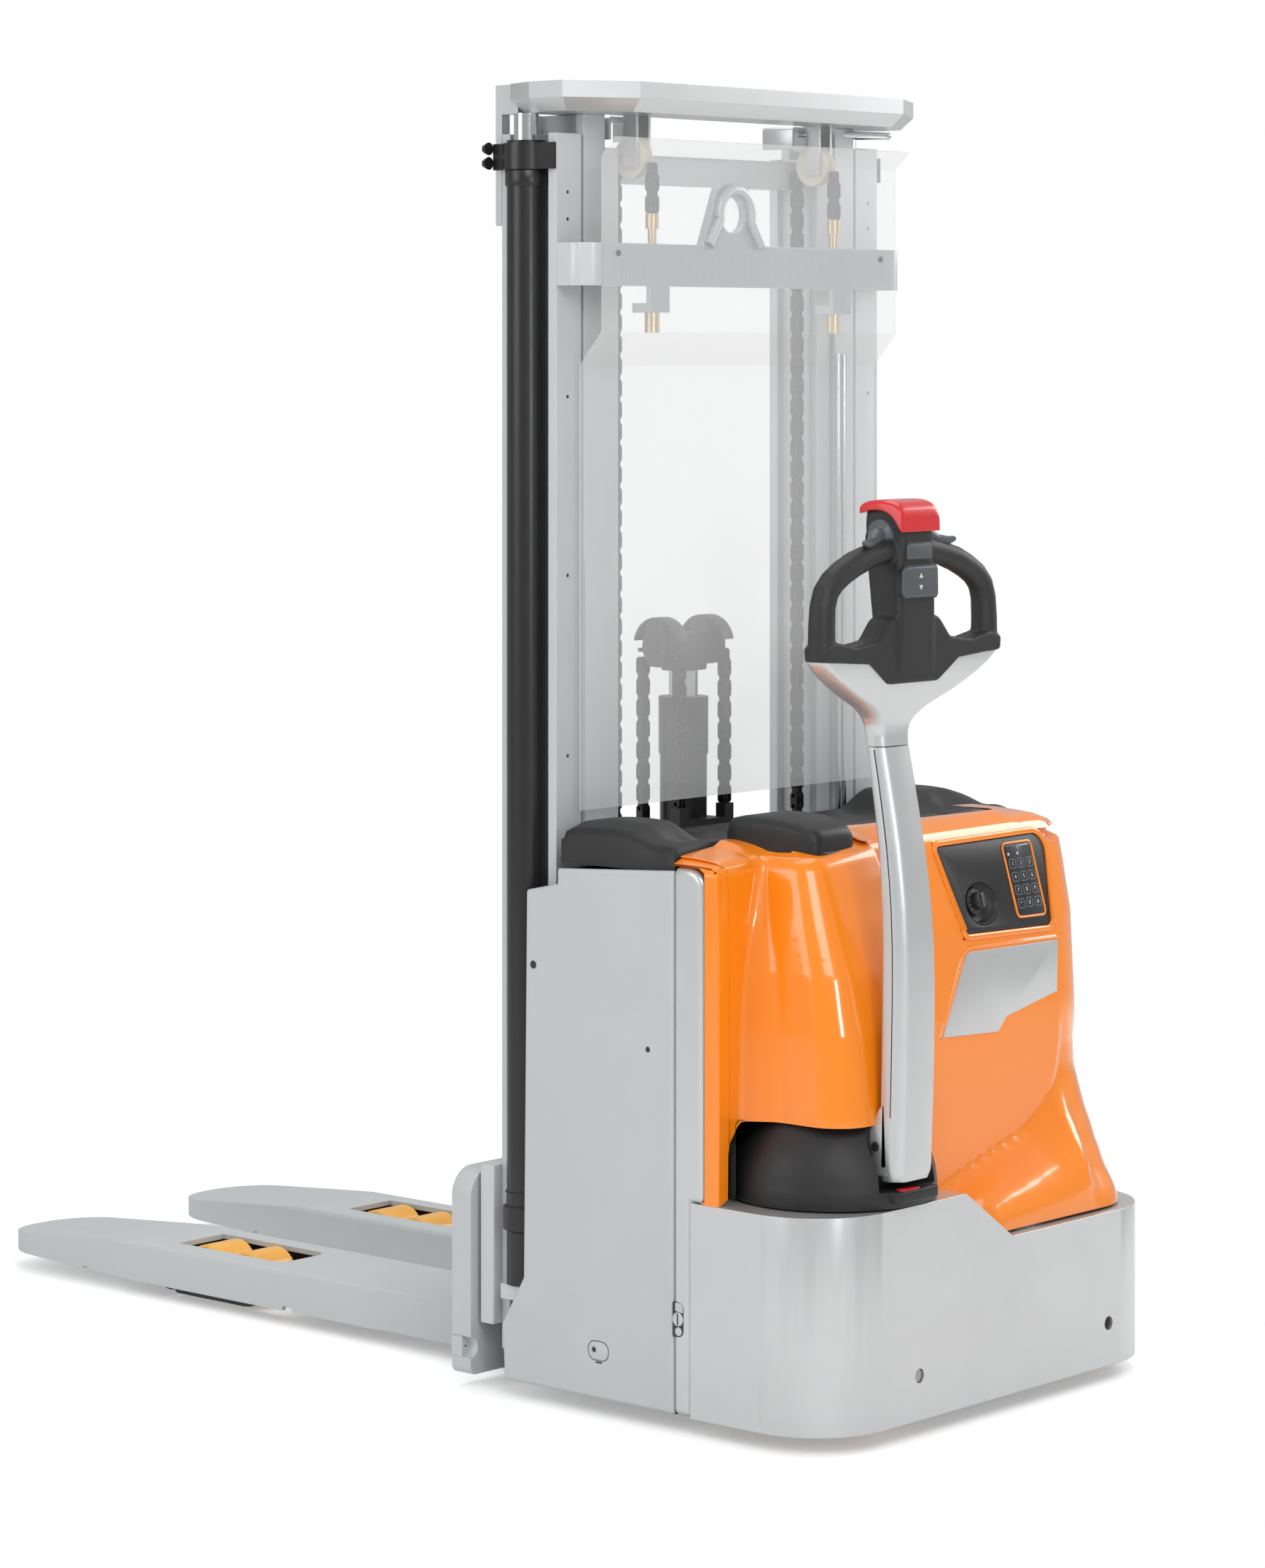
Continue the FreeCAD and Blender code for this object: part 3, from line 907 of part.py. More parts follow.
for side in (-1, 1):
    fork.cut("XY", S.fork_bottom - 1, S.fork_top + 1,
             [(x + side * (w + 1), S.carriage_front - 1), (x + side * (w - S.heel_step), S.carriage_front - 1),
              (x + side * (w - S.heel_step), S.heel_end), (x + side * (w + 1), S.heel_end + S.heel_slant)])
window = S.window_width / 2
fork.cut("XY", S.fork_top - S.fork_wall - 1, S.fork_top + 1,
         [(x - window, S.window_rear, 20), (x + window, S.window_rear, 20), (x + window, S.window_front),
          (x - window, S.window_front)])
node("forks", fork, mirrored(fork))


# Support legs and rollers
leg = Piece("leg")
leg.pad("XY", S.leg_bottom, leg_top,
        [(x - leg_half, S.leg_rear), (x + leg_half, S.leg_rear), (x + leg_half, S.leg_nose),
         (x + leg_half - S.leg_tip_taper, S.leg_tip), (x - leg_half + S.leg_tip_taper, S.leg_tip),
         (x - leg_half, S.leg_nose)])
cheek = leg_half - S.leg_cheek
leg.cut("XY", S.leg_bottom - 1, leg_top + 1, box_loop(x - cheek, x + cheek, S.leg_fork_end, S.leg_nose))
nose_half = leg_half - S.leg_tip_taper
leg.pad("YZ", x - nose_half, x + nose_half,
        [(S.leg_nose, S.leg_bottom + 1), (S.leg_nose, S.nose_bottom, 3), (S.leg_nose + 14, S.nose_bottom, 8),
         (S.leg_tip, S.leg_bottom), (S.leg_tip, S.leg_bottom + 1)])
node("support_legs", leg, mirrored(leg))

rocker = Piece("rocker")
arm_in, arm_out = S.roller_width / 2 + 5, leg_half - S.leg_cheek - 2
rocker_outline = [(S.rocker_rear, S.leg_bottom + 4), (S.rocker_rear + S.rocker_slope, S.rocker_bottom, 12),
                  (S.rocker_front, S.rocker_bottom, 8), (S.rocker_front, S.roller_r + S.rocker_rise, 12),
                  (S.rocker_rear + S.rocker_slope * 0.7, S.roller_r + S.rocker_rise, 12), (S.rocker_rear, S.roller_r, 6)]
rocker.pad("YZ", x - arm_out, x - arm_in, rocker_outline)
rocker.turn("X", (x, S.roller_front_y, S.roller_r),
            [(-arm_in - 1, 0), (-arm_in - 1, S.pin_radius), (arm_in + 1, S.pin_radius), (arm_in + 1, 0)])
rocker.turn("X", (x, S.roller_rear_y, S.roller_r),
            [(-arm_in - 1, 0), (-arm_in - 1, S.pin_radius), (arm_in + 1, S.pin_radius), (arm_in + 1, 0)])
rocker.pad("YZ", x + arm_in, x + arm_out, rocker_outline)
for inner, outer in ((arm_out - 1, leg_half - S.leg_cheek), (-1 * arm_out + 1, -leg_half + S.leg_cheek)):
    rocker.turn("X", (x, (S.roller_front_y + S.roller_rear_y) / 2, S.roller_r),
                [(inner, 0), (inner, S.pin_radius), (outer, S.pin_radius), (outer, 0)])
node("leg_rockers", rocker, mirrored(rocker))

for place, y in (("front", S.roller_front_y), ("rear", S.roller_rear_y)):
    for side in ("left", "right"):
        wheel = Piece("roller_%s_%s" % (side, place))
        centre = x if side == "left" else -x
        width = S.roller_width / 2
        wheel.turn("X", (centre, y, S.roller_r),
                   [(-width, S.pin_radius + S.axle_clear), (-width, S.roller_r - 3), (-width + 3, S.roller_r),
                    (width - 3, S.roller_r), (width, S.roller_r - 3), (width, S.pin_radius + S.axle_clear)])
        node("leg_roller_%s_%s" % (side, place), wheel)


# Steering, drive wheel, castor
dome = Piece("dome")
dome.turn("Z", (steer_x, S.steer_y, 0),
          [(S.dome_bottom, 0), (S.dome_bottom, S.dome_radius), (S.dome_top - 20, S.dome_radius),
           (S.dome_top, S.dome_radius - 16), (S.shoulder_top, S.shoulder_radius - 0), (S.shoulder_top, 0)])
slot = S.arm_half_low + S.slot_gap
dome.cut("XY", S.slot_floor, S.shoulder_top + 1,
         box_loop(steer_x - slot, steer_x + slot, S.steer_y - S.dome_radius - 10, S.slot_front))
dome.pad("YZ", steer_x - S.ear_half + S.ear_gap, steer_x + S.ear_half - S.ear_gap,
         [(S.slot_front + 1, S.tiller_pivot_z - S.ear_radius),
          (S.tiller_pivot_y - S.ear_radius, S.tiller_pivot_z - S.ear_radius, S.ear_radius - 2),
          (S.tiller_pivot_y - S.ear_radius, S.tiller_pivot_z + S.ear_radius, S.ear_radius - 2),
          (S.slot_front + 1, S.tiller_pivot_z + S.ear_radius)])
dome.cut("YZ", steer_x - S.ear_half, steer_x + S.ear_half,
         ("circle", S.tiller_pivot_y, S.tiller_pivot_z, S.pin_radius + S.axle_clear))
dome.pad("XY", S.lip_bottom, S.slot_floor,
         [(steer_x - slot + 1, S.steer_y - S.dome_radius + 30), (steer_x - slot + 1, S.lip_rear, 8),
          (steer_x + slot - 1, S.lip_rear, 8), (steer_x + slot - 1, S.steer_y - S.dome_radius + 30)])
node("steering_dome", dome)

drive = Piece("drive")
drive.turn("Z", (steer_x, S.steer_y, 0),
           [(S.drive_height, 0), (S.drive_height, S.drive_block + 25), (S.drive_height + 30, S.drive_block + 25),
            (S.drive_height + 30, S.steer_shaft_radius), (S.dome_bottom, S.steer_shaft_radius), (S.dome_bottom, 0)])
wheel_half = S.wheel_width / 2
drive.pad("YZ", steer_x + wheel_half + S.drive_gap, steer_x + wheel_half + S.drive_gap + 30,
          box_loop(S.steer_y - 60, S.steer_y + 60, S.wheel_radius - 50, S.drive_height + 10))
drive.turn("X", (steer_x, S.steer_y, S.wheel_radius),
           [(-wheel_half, 0), (-wheel_half, S.shaft_radius), (wheel_half + S.drive_gap + 5, S.shaft_radius),
            (wheel_half + S.drive_gap + 5, 0)])
node("drive_unit", drive)

drive_wheel = Piece("drive_wheel_tyre")
drive_wheel.turn("X", (steer_x, S.steer_y, S.wheel_radius),
                 [(-wheel_half, S.shaft_radius + S.axle_clear), (-wheel_half, S.wheel_radius - 5),
                  (-wheel_half + 5, S.wheel_radius), (wheel_half - 5, S.wheel_radius),
                  (wheel_half, S.wheel_radius - 5), (wheel_half, S.shaft_radius + S.axle_clear)])
node("drive_wheel", drive_wheel)

castor_plate = Piece("castor_plate")
castor_plate.pad("XY", S.castor_fork_top + S.axle_clear, S.skirt_low_top - S.deck_thick,
                 box_loop(castor_x - 60, castor_x + 60, S.castor_y - 50, S.castor_y + 50))
node("castor_mount", castor_plate)
castor = Piece("castor_fork_body")
castor.pad("XY", S.castor_fork_top - 8, S.castor_fork_top, ("circle", castor_x, S.castor_y, 45))
castor_half = S.castor_width / 2
axle_y = S.castor_y + S.castor_trail
for low, high in ((-castor_half - 4 - S.castor_fork_thick, -castor_half - 4),
                  (castor_half + 4, castor_half + 4 + S.castor_fork_thick)):
    castor.pad("YZ", castor_x + low, castor_x + high,
               [(S.castor_y - 26, S.castor_fork_top - 8), (axle_y - 14, S.castor_radius - 14),
                (axle_y + 14, S.castor_radius - 14), (S.castor_y + 26, S.castor_fork_top - 8)])
castor.turn("X", (castor_x, axle_y, S.castor_radius),
            [(-castor_half - 8, 0), (-castor_half - 8, 8), (castor_half + 8, 8), (castor_half + 8, 0)])
node("castor_fork", castor)
castor_wheel = Piece("castor_tyre")
castor_wheel.turn("X", (castor_x, axle_y, S.castor_radius),
                  [(-castor_half, 8 + S.axle_clear), (-castor_half, S.castor_radius - 5),
                   (-castor_half + 5, S.castor_radius), (castor_half - 5, S.castor_radius),
                   (castor_half, S.castor_radius - 5), (castor_half, 8 + S.axle_clear)])
node("castor_wheel", castor_wheel)


# Tiller
def tiller_section(rear, half_width, depth, corner):
    """A rounded rectangle about the tiller's middle plane."""
    return [(steer_x - half_width, rear, corner), (steer_x + half_width, rear, corner),
            (steer_x + half_width, rear + depth, corner), (steer_x - half_width, rear + depth, corner)]


arm = Piece("arm")
arm_length = S.arm_neck_z - S.arm_bottom
ARM_SECTIONS = [  # share of the arm's length, rear y, half width, depth
    (0, S.arm_low_y, S.arm_half_low, S.arm_depth_low), (0.31, S.arm_mid_y, S.arm_half_low, S.arm_depth_low),
    (0.54, S.arm_mid_y, S.arm_half_low - 1, S.arm_depth_low + 1),
    (0.77, S.arm_mid_y + 14.5, S.arm_half_neck + 2.5, S.arm_depth_neck + 5),
    (1, S.arm_neck_y, S.arm_half_neck, S.arm_depth_neck)]
arm.loft([(S.arm_bottom + arm_length * share, tiller_section(back, width, depth, S.arm_corner))
          for share, back, width, depth in ARM_SECTIONS])
arm.cut("YZ", steer_x - S.ear_half, steer_x + S.ear_half,
        [(S.ear_rear - 5, S.arm_bottom - 1), (S.ear_rear - 5, S.ear_top), (S.ear_front + 8, S.ear_top),
         (S.ear_front + 8, S.arm_bottom - 1)])
arm.turn("X", (steer_x, S.tiller_pivot_y, S.tiller_pivot_z),
         [(-1 * S.ear_half - 1, 0), (-1 * S.ear_half - 1, S.pin_radius), (S.ear_half + 1, S.pin_radius),
          (S.ear_half + 1, 0)])
node("tiller_arm", arm)

neck = Piece("neck")
NECK_SECTIONS = [  # share of the way up to the joint, middle y - head_y, half width, half depth
    (0, 26.5, S.arm_half_neck, 15.5), (0.2, 27.5, S.arm_half_neck + 3, 16), (0.42, 23.5, S.arm_half_neck + 20, 18),
    (0.7, 12, S.arm_half_neck + (S.joint_half - S.arm_half_neck) * 84 / 156, 19), (1, 1, S.joint_half, 17)]
neck.loft([(S.arm_neck_z + (S.joint_z - S.arm_neck_z) * share,
            tiller_section(S.head_y + middle - deep, width, 2 * deep, S.arm_corner))
           for share, middle, width, deep in NECK_SECTIONS])
bib = [(steer_x - S.joint_half, S.joint_z), (steer_x - S.bib_shoulder_half, S.bib_shoulder_z),
       (steer_x - S.bib_half, S.bib_z), (steer_x + S.bib_half, S.bib_z),
       (steer_x + S.bib_shoulder_half, S.bib_shoulder_z), (steer_x + S.joint_half, S.joint_z)]
neck.cut("XZ", S.head_y - 60, S.head_y + 60,
         bib + [(steer_x + S.joint_half, S.joint_z + 1), (steer_x - S.joint_half, S.joint_z + 1)])
node("tiller_neck", neck)

grip = Piece("grip")
d = S.head_depth / 2
grip.pad("XZ", S.head_y - d, S.head_y + d,
         bib + [(steer_x + S.head_width_half, S.joint_z + S.head_side_rise, S.head_side_bend),
                (steer_x + S.head_width_half - S.head_corner_in, S.grip_top - S.head_corner_drop, S.head_corner),
                (steer_x + S.head_arch_half, S.grip_top, S.head_arch_bend),
                (steer_x - S.head_arch_half, S.grip_top, S.head_arch_bend),
                (steer_x - S.head_width_half + S.head_corner_in, S.grip_top - S.head_corner_drop, S.head_corner),
                (steer_x - S.head_width_half, S.joint_z + S.head_side_rise, S.head_side_bend)])
for side in (-1, 1):
    near, far = S.window_in, S.window_out
    grip.cut("XZ", S.head_y - d - 1, S.head_y + d + 1,
             [(steer_x + side * near, S.window_low + S.window_sill_rise, S.window_corner),
              (steer_x + side * (near + far) / 2, S.window_low + S.window_bow, S.window_sill_bend),
              (steer_x + side * (far - S.window_foot_in), S.window_low, S.window_foot_bend),
              (steer_x + side * far, S.window_low + S.window_side_rise, S.window_side_bend),
              (steer_x + side * (far - S.window_shoulder_in), S.window_top - S.window_shoulder_drop,
               S.window_shoulder_bend),
              (steer_x + side * (near + far) / 2, S.window_top - S.window_arch_drop, S.window_arch_bend),
              (steer_x + side * near, S.window_top, S.window_corner)])
grip.fillet(S.head_edge, lambda edge: edge.BoundBox.YLength < 0.01 and edge.BoundBox.ZMin > float(S.joint_z) - 0.5
            and abs(abs(edge.BoundBox.YMin - float(S.head_y)) - float(d)) < 0.01)
grip.pad("YZ", steer_x - S.hub_half, steer_x + S.hub_half,
         [(S.hub_rear, S.hub_low), (S.hub_rear, S.belly_low), (S.belly_rear + S.belly_thick, S.belly_low),
          (S.belly_rear + S.belly_thick, S.hub_top), (S.hub_front, S.hub_top, 4), (S.hub_front, S.grip_top - 25, 20),
          (S.head_y + d, S.hub_low)])
for side in (-1, 1):
    grip.turn("X", (steer_x, S.boss_y, S.boss_z),
              [(side * (S.hub_half - 1), 0), (side * (S.hub_half - 1), S.boss_radius), (side * S.boss_out, S.boss_radius, 3),
               (side * S.boss_out, 0)])
    grip.pad("XY", S.boss_z - S.lever_thick / 2, S.boss_z + S.lever_thick / 2,
             [(steer_x + side * (S.boss_out - 2), S.boss_y + 12), (steer_x + side * (S.boss_out - 2), S.boss_y - 16),
              (steer_x + side * S.lever_out, S.boss_y - 26, 5), (steer_x + side * S.lever_out, S.boss_y - 8, 6)])
node("tiller_head", grip)

belly = Piece("belly_button")
belly.pad("YZ", steer_x - S.belly_half, steer_x + S.belly_half,
          [(S.belly_rear, S.belly_low), (S.belly_rear + S.belly_thick, S.belly_low),
           (S.belly_rear + S.belly_thick, S.hub_top), (S.belly_front, S.hub_top), (S.belly_front, S.belly_top, 8),
           (S.belly_rear, S.belly_top, 12)])
belly.fillet(S.head_edge / 3, lambda edge: abs(abs(edge.CenterOfMass.x - float(steer_x)) - float(S.belly_half)) < 0.01
             and (edge.BoundBox.ZMax > float(S.hub_top) + 0.5 or edge.BoundBox.YMax < float(S.belly_rear) + 0.01))
node("belly_button", belly)


# Checks and files
doc.recompute()
for obj in doc.Objects:
    if "Invalid" in obj.State or "Error" in obj.State:
        raise SystemExit("failed: %s %s" % (obj.Name, obj.State))
os.makedirs("parts", exist_ok=True)
for label, obj in NODES.items():
    shape = obj.Shape
    if shape.isNull() or not shape.isValid() or not shape.Solids:
        raise SystemExit("bad shape: " + label)
    shape.exportStep(os.path.join("parts", label + ".step"))
    print("%-26s %d solids %9.0f cm3" % (label, len(shape.Solids), shape.Volume / 1000))
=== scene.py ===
import math

import bmesh
import bpy
from mathutils import Matrix, Vector

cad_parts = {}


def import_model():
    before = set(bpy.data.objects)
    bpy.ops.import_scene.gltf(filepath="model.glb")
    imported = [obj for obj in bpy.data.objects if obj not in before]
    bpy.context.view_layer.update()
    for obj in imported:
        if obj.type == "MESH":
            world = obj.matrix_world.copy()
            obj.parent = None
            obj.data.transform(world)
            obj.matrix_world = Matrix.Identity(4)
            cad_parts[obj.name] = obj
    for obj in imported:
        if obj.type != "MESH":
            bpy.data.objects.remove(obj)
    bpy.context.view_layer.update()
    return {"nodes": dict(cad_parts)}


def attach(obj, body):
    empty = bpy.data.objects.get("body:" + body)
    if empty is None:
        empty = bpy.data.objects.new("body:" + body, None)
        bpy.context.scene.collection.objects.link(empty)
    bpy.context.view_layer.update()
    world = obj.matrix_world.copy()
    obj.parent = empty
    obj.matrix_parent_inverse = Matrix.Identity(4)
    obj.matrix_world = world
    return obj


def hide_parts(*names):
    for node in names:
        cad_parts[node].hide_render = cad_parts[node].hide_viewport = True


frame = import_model()

# Shapes are written in millimetres: X across, Y from the skirt's rear towards the forks, Z up.
MIDDLE_X, MIDDLE_Y = -6.0, 916.5  # the middle of the frame's box
STEER_X, STEER_Y = -216.0, 139.0  # the steering axis
SIDES = (-1, "left"), (1, "right")


def at(x, y, z):
    return Vector((x - MIDDLE_X, y - MIDDLE_Y, z)) / 1000


def circle(steps):
    return [2 * math.pi * s / steps for s in range(steps)]


def turned(first, sweep, steps):
    """Angles from first over sweep degrees, in radians."""
    return [math.radians(first + sweep * k / steps) for k in range(steps + 1)]


def clamp(value, low=0.0, high=1.0):
    return max(low, min(high, value))


def smooth(value, low, high):
    t = clamp((value - low) / (high - low))
    return t * t * (3 - 2 * t)


def along(table, key):
    """Reads columns of a table at key, with straight runs between its rows."""
    if key <= table[0][0]:
        return table[0][1:]
    for a, b in zip(table, table[1:]):
        if key <= b[0]:
            t = (key - a[0]) / (b[0] - a[0])
            return tuple(p + (q - p) * t for p, q in zip(a[1:], b[1:]))
    return table[-1][1:]


# Materials

def node(tree, kind, *slots, **values):
    """Adds a node. A socket as a value is linked and anything else is set; slots go in their order."""
    made = tree.nodes.new(kind)
    given = list(zip(made.inputs, slots))
    for key, value in values.items():
        socket = made.inputs.get(key.replace("_", " "))
        if socket is None:
            setattr(made, key, value)
        else:
            given.append((socket, value))
    for socket, value in given:
        if isinstance(value, bpy.types.NodeSocket):
            tree.links.new(value, socket)
        else:
            socket.default_value = value
    return made


def principled(name, **sockets):
    """A new material, with its node tree and its shader set to the given values."""
    mat = bpy.data.materials.new(name)
    mat.use_nodes = True
    bsdf = mat.node_tree.nodes["Principled BSDF"]
    for socket, value in sockets.items():
        bsdf.inputs[socket.replace("_", " ")].default_value = value
    return mat, mat.node_tree, bsdf


def paint(name, colour, roughness, metallic=0.0, tone=0.04, grain=900, bump=0.05, depth=0.4, scale=6.0,
          spread=0.06, **sockets):
    """Colour, roughness and a fine bump, depth in millimetres, that vary with noise in object space."""
    mat, tree, bsdf = principled(
        name, **{"Base Color": (*colour, 1), "Roughness": roughness, "Metallic": metallic, **sockets})
    place = node(tree, "ShaderNodeTexCoord").outputs["Object"]
    broad = node(tree, "ShaderNodeTexNoise", Vector=place, Scale=scale, Detail=4.0, Roughness=0.55)
    ramp = node(tree, "ShaderNodeValToRGB", broad.outputs["Fac"])
    for stop, spot, share in zip(ramp.color_ramp.elements, (0.3, 0.7), (1 - tone, 1 + tone)):
        stop.position = spot
        stop.color = (*[min(1, c * share) for c in colour], 1)
    patch = node(tree, "ShaderNodeTexNoise", Vector=place, Scale=scale * 5, Detail=5.0)
    rough = node(tree, "ShaderNodeMapRange", patch.outputs["Fac"], To_Min=max(0.02, roughness - spread),
                 To_Max=min(1.0, roughness + spread))
    fine = node(tree, "ShaderNodeTexNoise", Vector=place, Scale=grain)
    relief = node(tree, "ShaderNodeBump", Strength=bump, Distance=depth / 1000, Height=fine.outputs["Fac"])
    tree.links.new(ramp.outputs["Color"], bsdf.inputs["Base Color"])
    tree.links.new(rough.outputs["Result"], bsdf.inputs["Roughness"])
    tree.links.new(relief.outputs["Normal"], bsdf.inputs["Normal"])
    return mat


# name, colour, roughness, metallic, tone, grain, bump, depth
silver = paint("silver_metallic", (0.60, 0.61, 0.615), 0.34, 0.6, 0.02, 2600, 0.10, 0.08, Roughness=0.3,
               Coat_Weight=0.3, Coat_Roughness=0.1)
grey = paint("light_grey_paint", (0.50, 0.525, 0.53), 0.42, 0.0, 0.02, 700, 0.08, 0.12)
mast_grey = paint("mast_grey_paint", (0.55, 0.575, 0.58), 0.36, 0.1, 0.03, 420, 0.1, 0.15)
orange = paint("orange_gloss", (0.93, 0.245, 0.004), 0.2, 0.0, 0.015, 160, 0.02, 0.1, spread=0.03,
               Coat_Weight=0.7, Coat_Roughness=0.05)
black = paint("black_textured_plastic", (0.012, 0.012, 0.013), 0.5, 0.0, 0.25, 1300, 0.35, 0.15)
black_panel = paint("black_panel", (0.02, 0.02, 0.021), 0.38, 0.0, 0.1, 1500, 0.2, 0.1)
grip_black = paint("grip_soft_black", (0.016, 0.016, 0.017), 0.55, 0.0, 0.2, 1800, 0.4, 0.12)
gunmetal = paint("gunmetal_buttons", (0.09, 0.10, 0.11), 0.42, 0.2, 0.04, 1600, 0.15, 0.1)
dark_steel = paint("dark_steel_paint", (0.03, 0.031, 0.034), 0.42, 0.1, 0.15, 500, 0.12, 0.2)
cylinder_black = paint("cylinder_black_paint", (0.014, 0.014, 0.015), 0.3, 0.0, 0.1, 300, 0.06, 0.15)
chrome = paint("chrome", (0.75, 0.76, 0.77), 0.12, 1.0, 0.03, 900, 0.03, 0.05, spread=0.05)
roller_yellow = paint("roller_polyurethane", (0.86, 0.42, 0.06), 0.3, 0.0, 0.08, 350, 0.08, 0.3, scale=18,
                      Coat_Weight=0.2, Subsurface_Weight=0.08)
red = paint("red_gloss", (0.62, 0.012, 0.014), 0.28, 0.0, 0.05, 600, 0.05, 0.1, Coat_Weight=0.4)
cream = paint("cream_nylon", (0.74, 0.66, 0.5), 0.45, 0.0, 0.06, 500, 0.1, 0.2)
brass = paint("brass", (0.78, 0.58, 0.33), 0.3, 1.0, 0.08, 700, 0.08, 0.1)
print_grey = paint("printed_grey", (0.22, 0.23, 0.24), 0.5)
print_white = paint("printed_white", (0.6, 0.62, 0.63), 0.5)
key_film = paint("keypad_film", (0.012, 0.016, 0.022), 0.2, 0.0, 0.1, 500, 0.03, 0.1, Coat_Weight=0.6)
chain_steel = paint("chain_oiled_steel", (0.05, 0.05, 0.052), 0.38, 0.8, 0.3, 900, 0.15, 0.2, scale=40)


def clear_guard():
    """Clear sheet: see-through and faintly grey, glossier at a slant, with faint streaks in its gloss."""
    mat, tree, _ = principled("clear_guard")
    tree.nodes.clear()
    place = node(tree, "ShaderNodeTexCoord")
    streak = node(tree, "ShaderNodeTexNoise", Vector=place.outputs["Object"], Scale=14.0, Detail=3.0)
    rough = node(tree, "ShaderNodeMapRange", streak.outputs["Fac"], To_Min=0.04, To_Max=0.12)
    through = node(tree, "ShaderNodeBsdfTransparent", Color=(0.975, 0.978, 0.98, 1))
    gloss = node(tree, "ShaderNodeBsdfPrincipled", Base_Color=(0.93, 0.935, 0.94, 1),
                 Roughness=rough.outputs["Result"])
    facing = node(tree, "ShaderNodeLayerWeight", Blend=0.5)
    share = node(tree, "ShaderNodeMapRange", facing.outputs["Facing"], To_Min=0.13, To_Max=0.42)
    mix = node(tree, "ShaderNodeMixShader", share.outputs["Result"], through.outputs["BSDF"],
               gloss.outputs["BSDF"])
    node(tree, "ShaderNodeOutputMaterial", Surface=mix.outputs["Shader"])
    return mat


NODE_MATERIALS = {
    silver: ["skirt", "rear_columns", "tiller_arm", "tiller_neck", "mast_top_plate"],
    grey: ["side_panels", "carriage_plate", "roller_plates", "forks"],
    mast_grey: ["outer_mast_rails", "mast_crossbar", "mast_foot", "mast_brackets", "middle_mast_rails",
                "middle_mast_tie", "inner_mast_rails", "inner_mast_ties", "hose_cover"],
    orange: ["rear_cover"],
    black: ["tray_cover", "steering_cap", "steering_dome"],
    black_panel: ["control_panel"],
    grip_black: ["tiller_head"],
    dark_steel: ["chassis_base", "battery", "support_legs", "leg_rockers", "castor_mount", "castor_fork",
                 "drive_unit", "middle_mast_rollers", "inner_mast_rollers", "carriage_rollers",
                 "free_lift_head", "free_lift_anchors", "free_lift_sheaves"],
    cylinder_black: ["lift_cylinders", "cylinder_clamps", "free_lift_cylinder"],
    chrome: ["lift_rods", "free_lift_rod", "hydraulic_pipes"],
    roller_yellow: ["drive_wheel", "castor_wheel", "leg_roller_left_front", "leg_roller_left_rear",
                    "leg_roller_right_front", "leg_roller_right_rear"],
    red: ["belly_button"],
    cream: ["chain_sheaves"],
    brass: ["chain_anchors"],
    chain_steel: ["lift_chain_rear", "lift_chain_front", "carriage_chain_rear", "carriage_chain_front"],
    clear_guard(): ["mast_guard"],
}
SOFT_EDGES = {  # node, width of its rounded edges
    "skirt": 5.0, "rear_columns": 9.0, "side_panels": 3.0, "mast_top_plate": 2.5, "carriage_plate": 2.5,
    "forks": 5.0, "outer_mast_rails": 1.2, "middle_mast_rails": 1.2, "inner_mast_rails": 1.2,
    "mast_crossbar": 2.0, "support_legs": 2.5, "leg_rockers": 1.5, "mast_brackets": 1.5}

for mat, names in NODE_MATERIALS.items():
    for name in names:
        obj = frame["nodes"][name]
        obj.data.materials.clear()
        obj.data.materials.append(mat)


def soften(obj, width):
    """Joins split corners, clears flat joins and rounds the sharp edges by a few millimetres."""
    obj.modifiers.new("weld", "WELD").merge_threshold = 0.00002
    flat = obj.modifiers.new("flat", "DECIMATE")
    flat.decimate_type = "DISSOLVE"
    flat.angle_limit = math.radians(0.6)
    bevel = obj.modifiers.new("edges", "BEVEL")
    bevel.width = width / 1000
    bevel.segments = 3
    bevel.limit_method = "ANGLE"
    bevel.angle_limit = math.radians(32)
    bevel.harden_normals = True
    bevel.use_clamp_overlap = True


for name, width in SOFT_EDGES.items():
    soften(frame["nodes"][name], width)


# Mesh helpers

def place(name, mesh, mat):
    obj = bpy.data.objects.new(name, mesh)
    bpy.context.scene.collection.objects.link(obj)
    mesh.materials.append(mat)
    return obj


def ride(obj, body, replaces=(), slot=None):
    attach(obj, body)
    if replaces:
        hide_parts(*replaces)
    return obj


def finish(name, mesh, mat, body, sharp=38, **kw):
    """Joins doubles, turns the faces outwards and shades them smooth up to the given angle."""
    bm = bmesh.new()
    bm.from_mesh(mesh)
    bmesh.ops.remove_doubles(bm, verts=bm.verts, dist=0.00001)
    bmesh.ops.recalc_face_normals(bm, faces=bm.faces)
    for face in bm.faces:
        face.smooth = True
    for edge in bm.edges:
        edge.smooth = len(edge.link_faces) == 2 and edge.calc_face_angle(0) < math.radians(sharp)
    bm.to_mesh(mesh)
    bm.free()
    return ride(place(name, mesh, mat), body, **kw)


def make(name, verts, faces, mat, body, sharp=38, **kw):
    mesh = bpy.data.meshes.new(name)
    mesh.from_pydata([tuple(v) for v in verts], [], faces)
    mesh.validate()
    return finish(name, mesh, mat, body, sharp, **kw)


def grid_faces(rows, columns, close_columns=True):
    faces = []
    for r in range(rows - 1):
        for c in range(columns if close_columns else columns - 1):
            d = (c + 1) % columns
            faces.append((r * columns + c, r * columns + d, (r + 1) * columns + d, (r + 1) * columns + c))
    return faces


def rings(name, sections, mat, body, cap=True, sharp=38, **kw):
    """Joins closed rings of equal length, with a flat end at each side."""
    count = len(sections[0])
    verts = [p for ring in sections for p in ring]
    faces = grid_faces(len(sections), count)
    if cap:
        faces.append(tuple(reversed(range(count))))
        faces.append(tuple(range((len(sections) - 1) * count, len(sections) * count)))
    return make(name, verts, faces, mat, body, sharp, **kw)


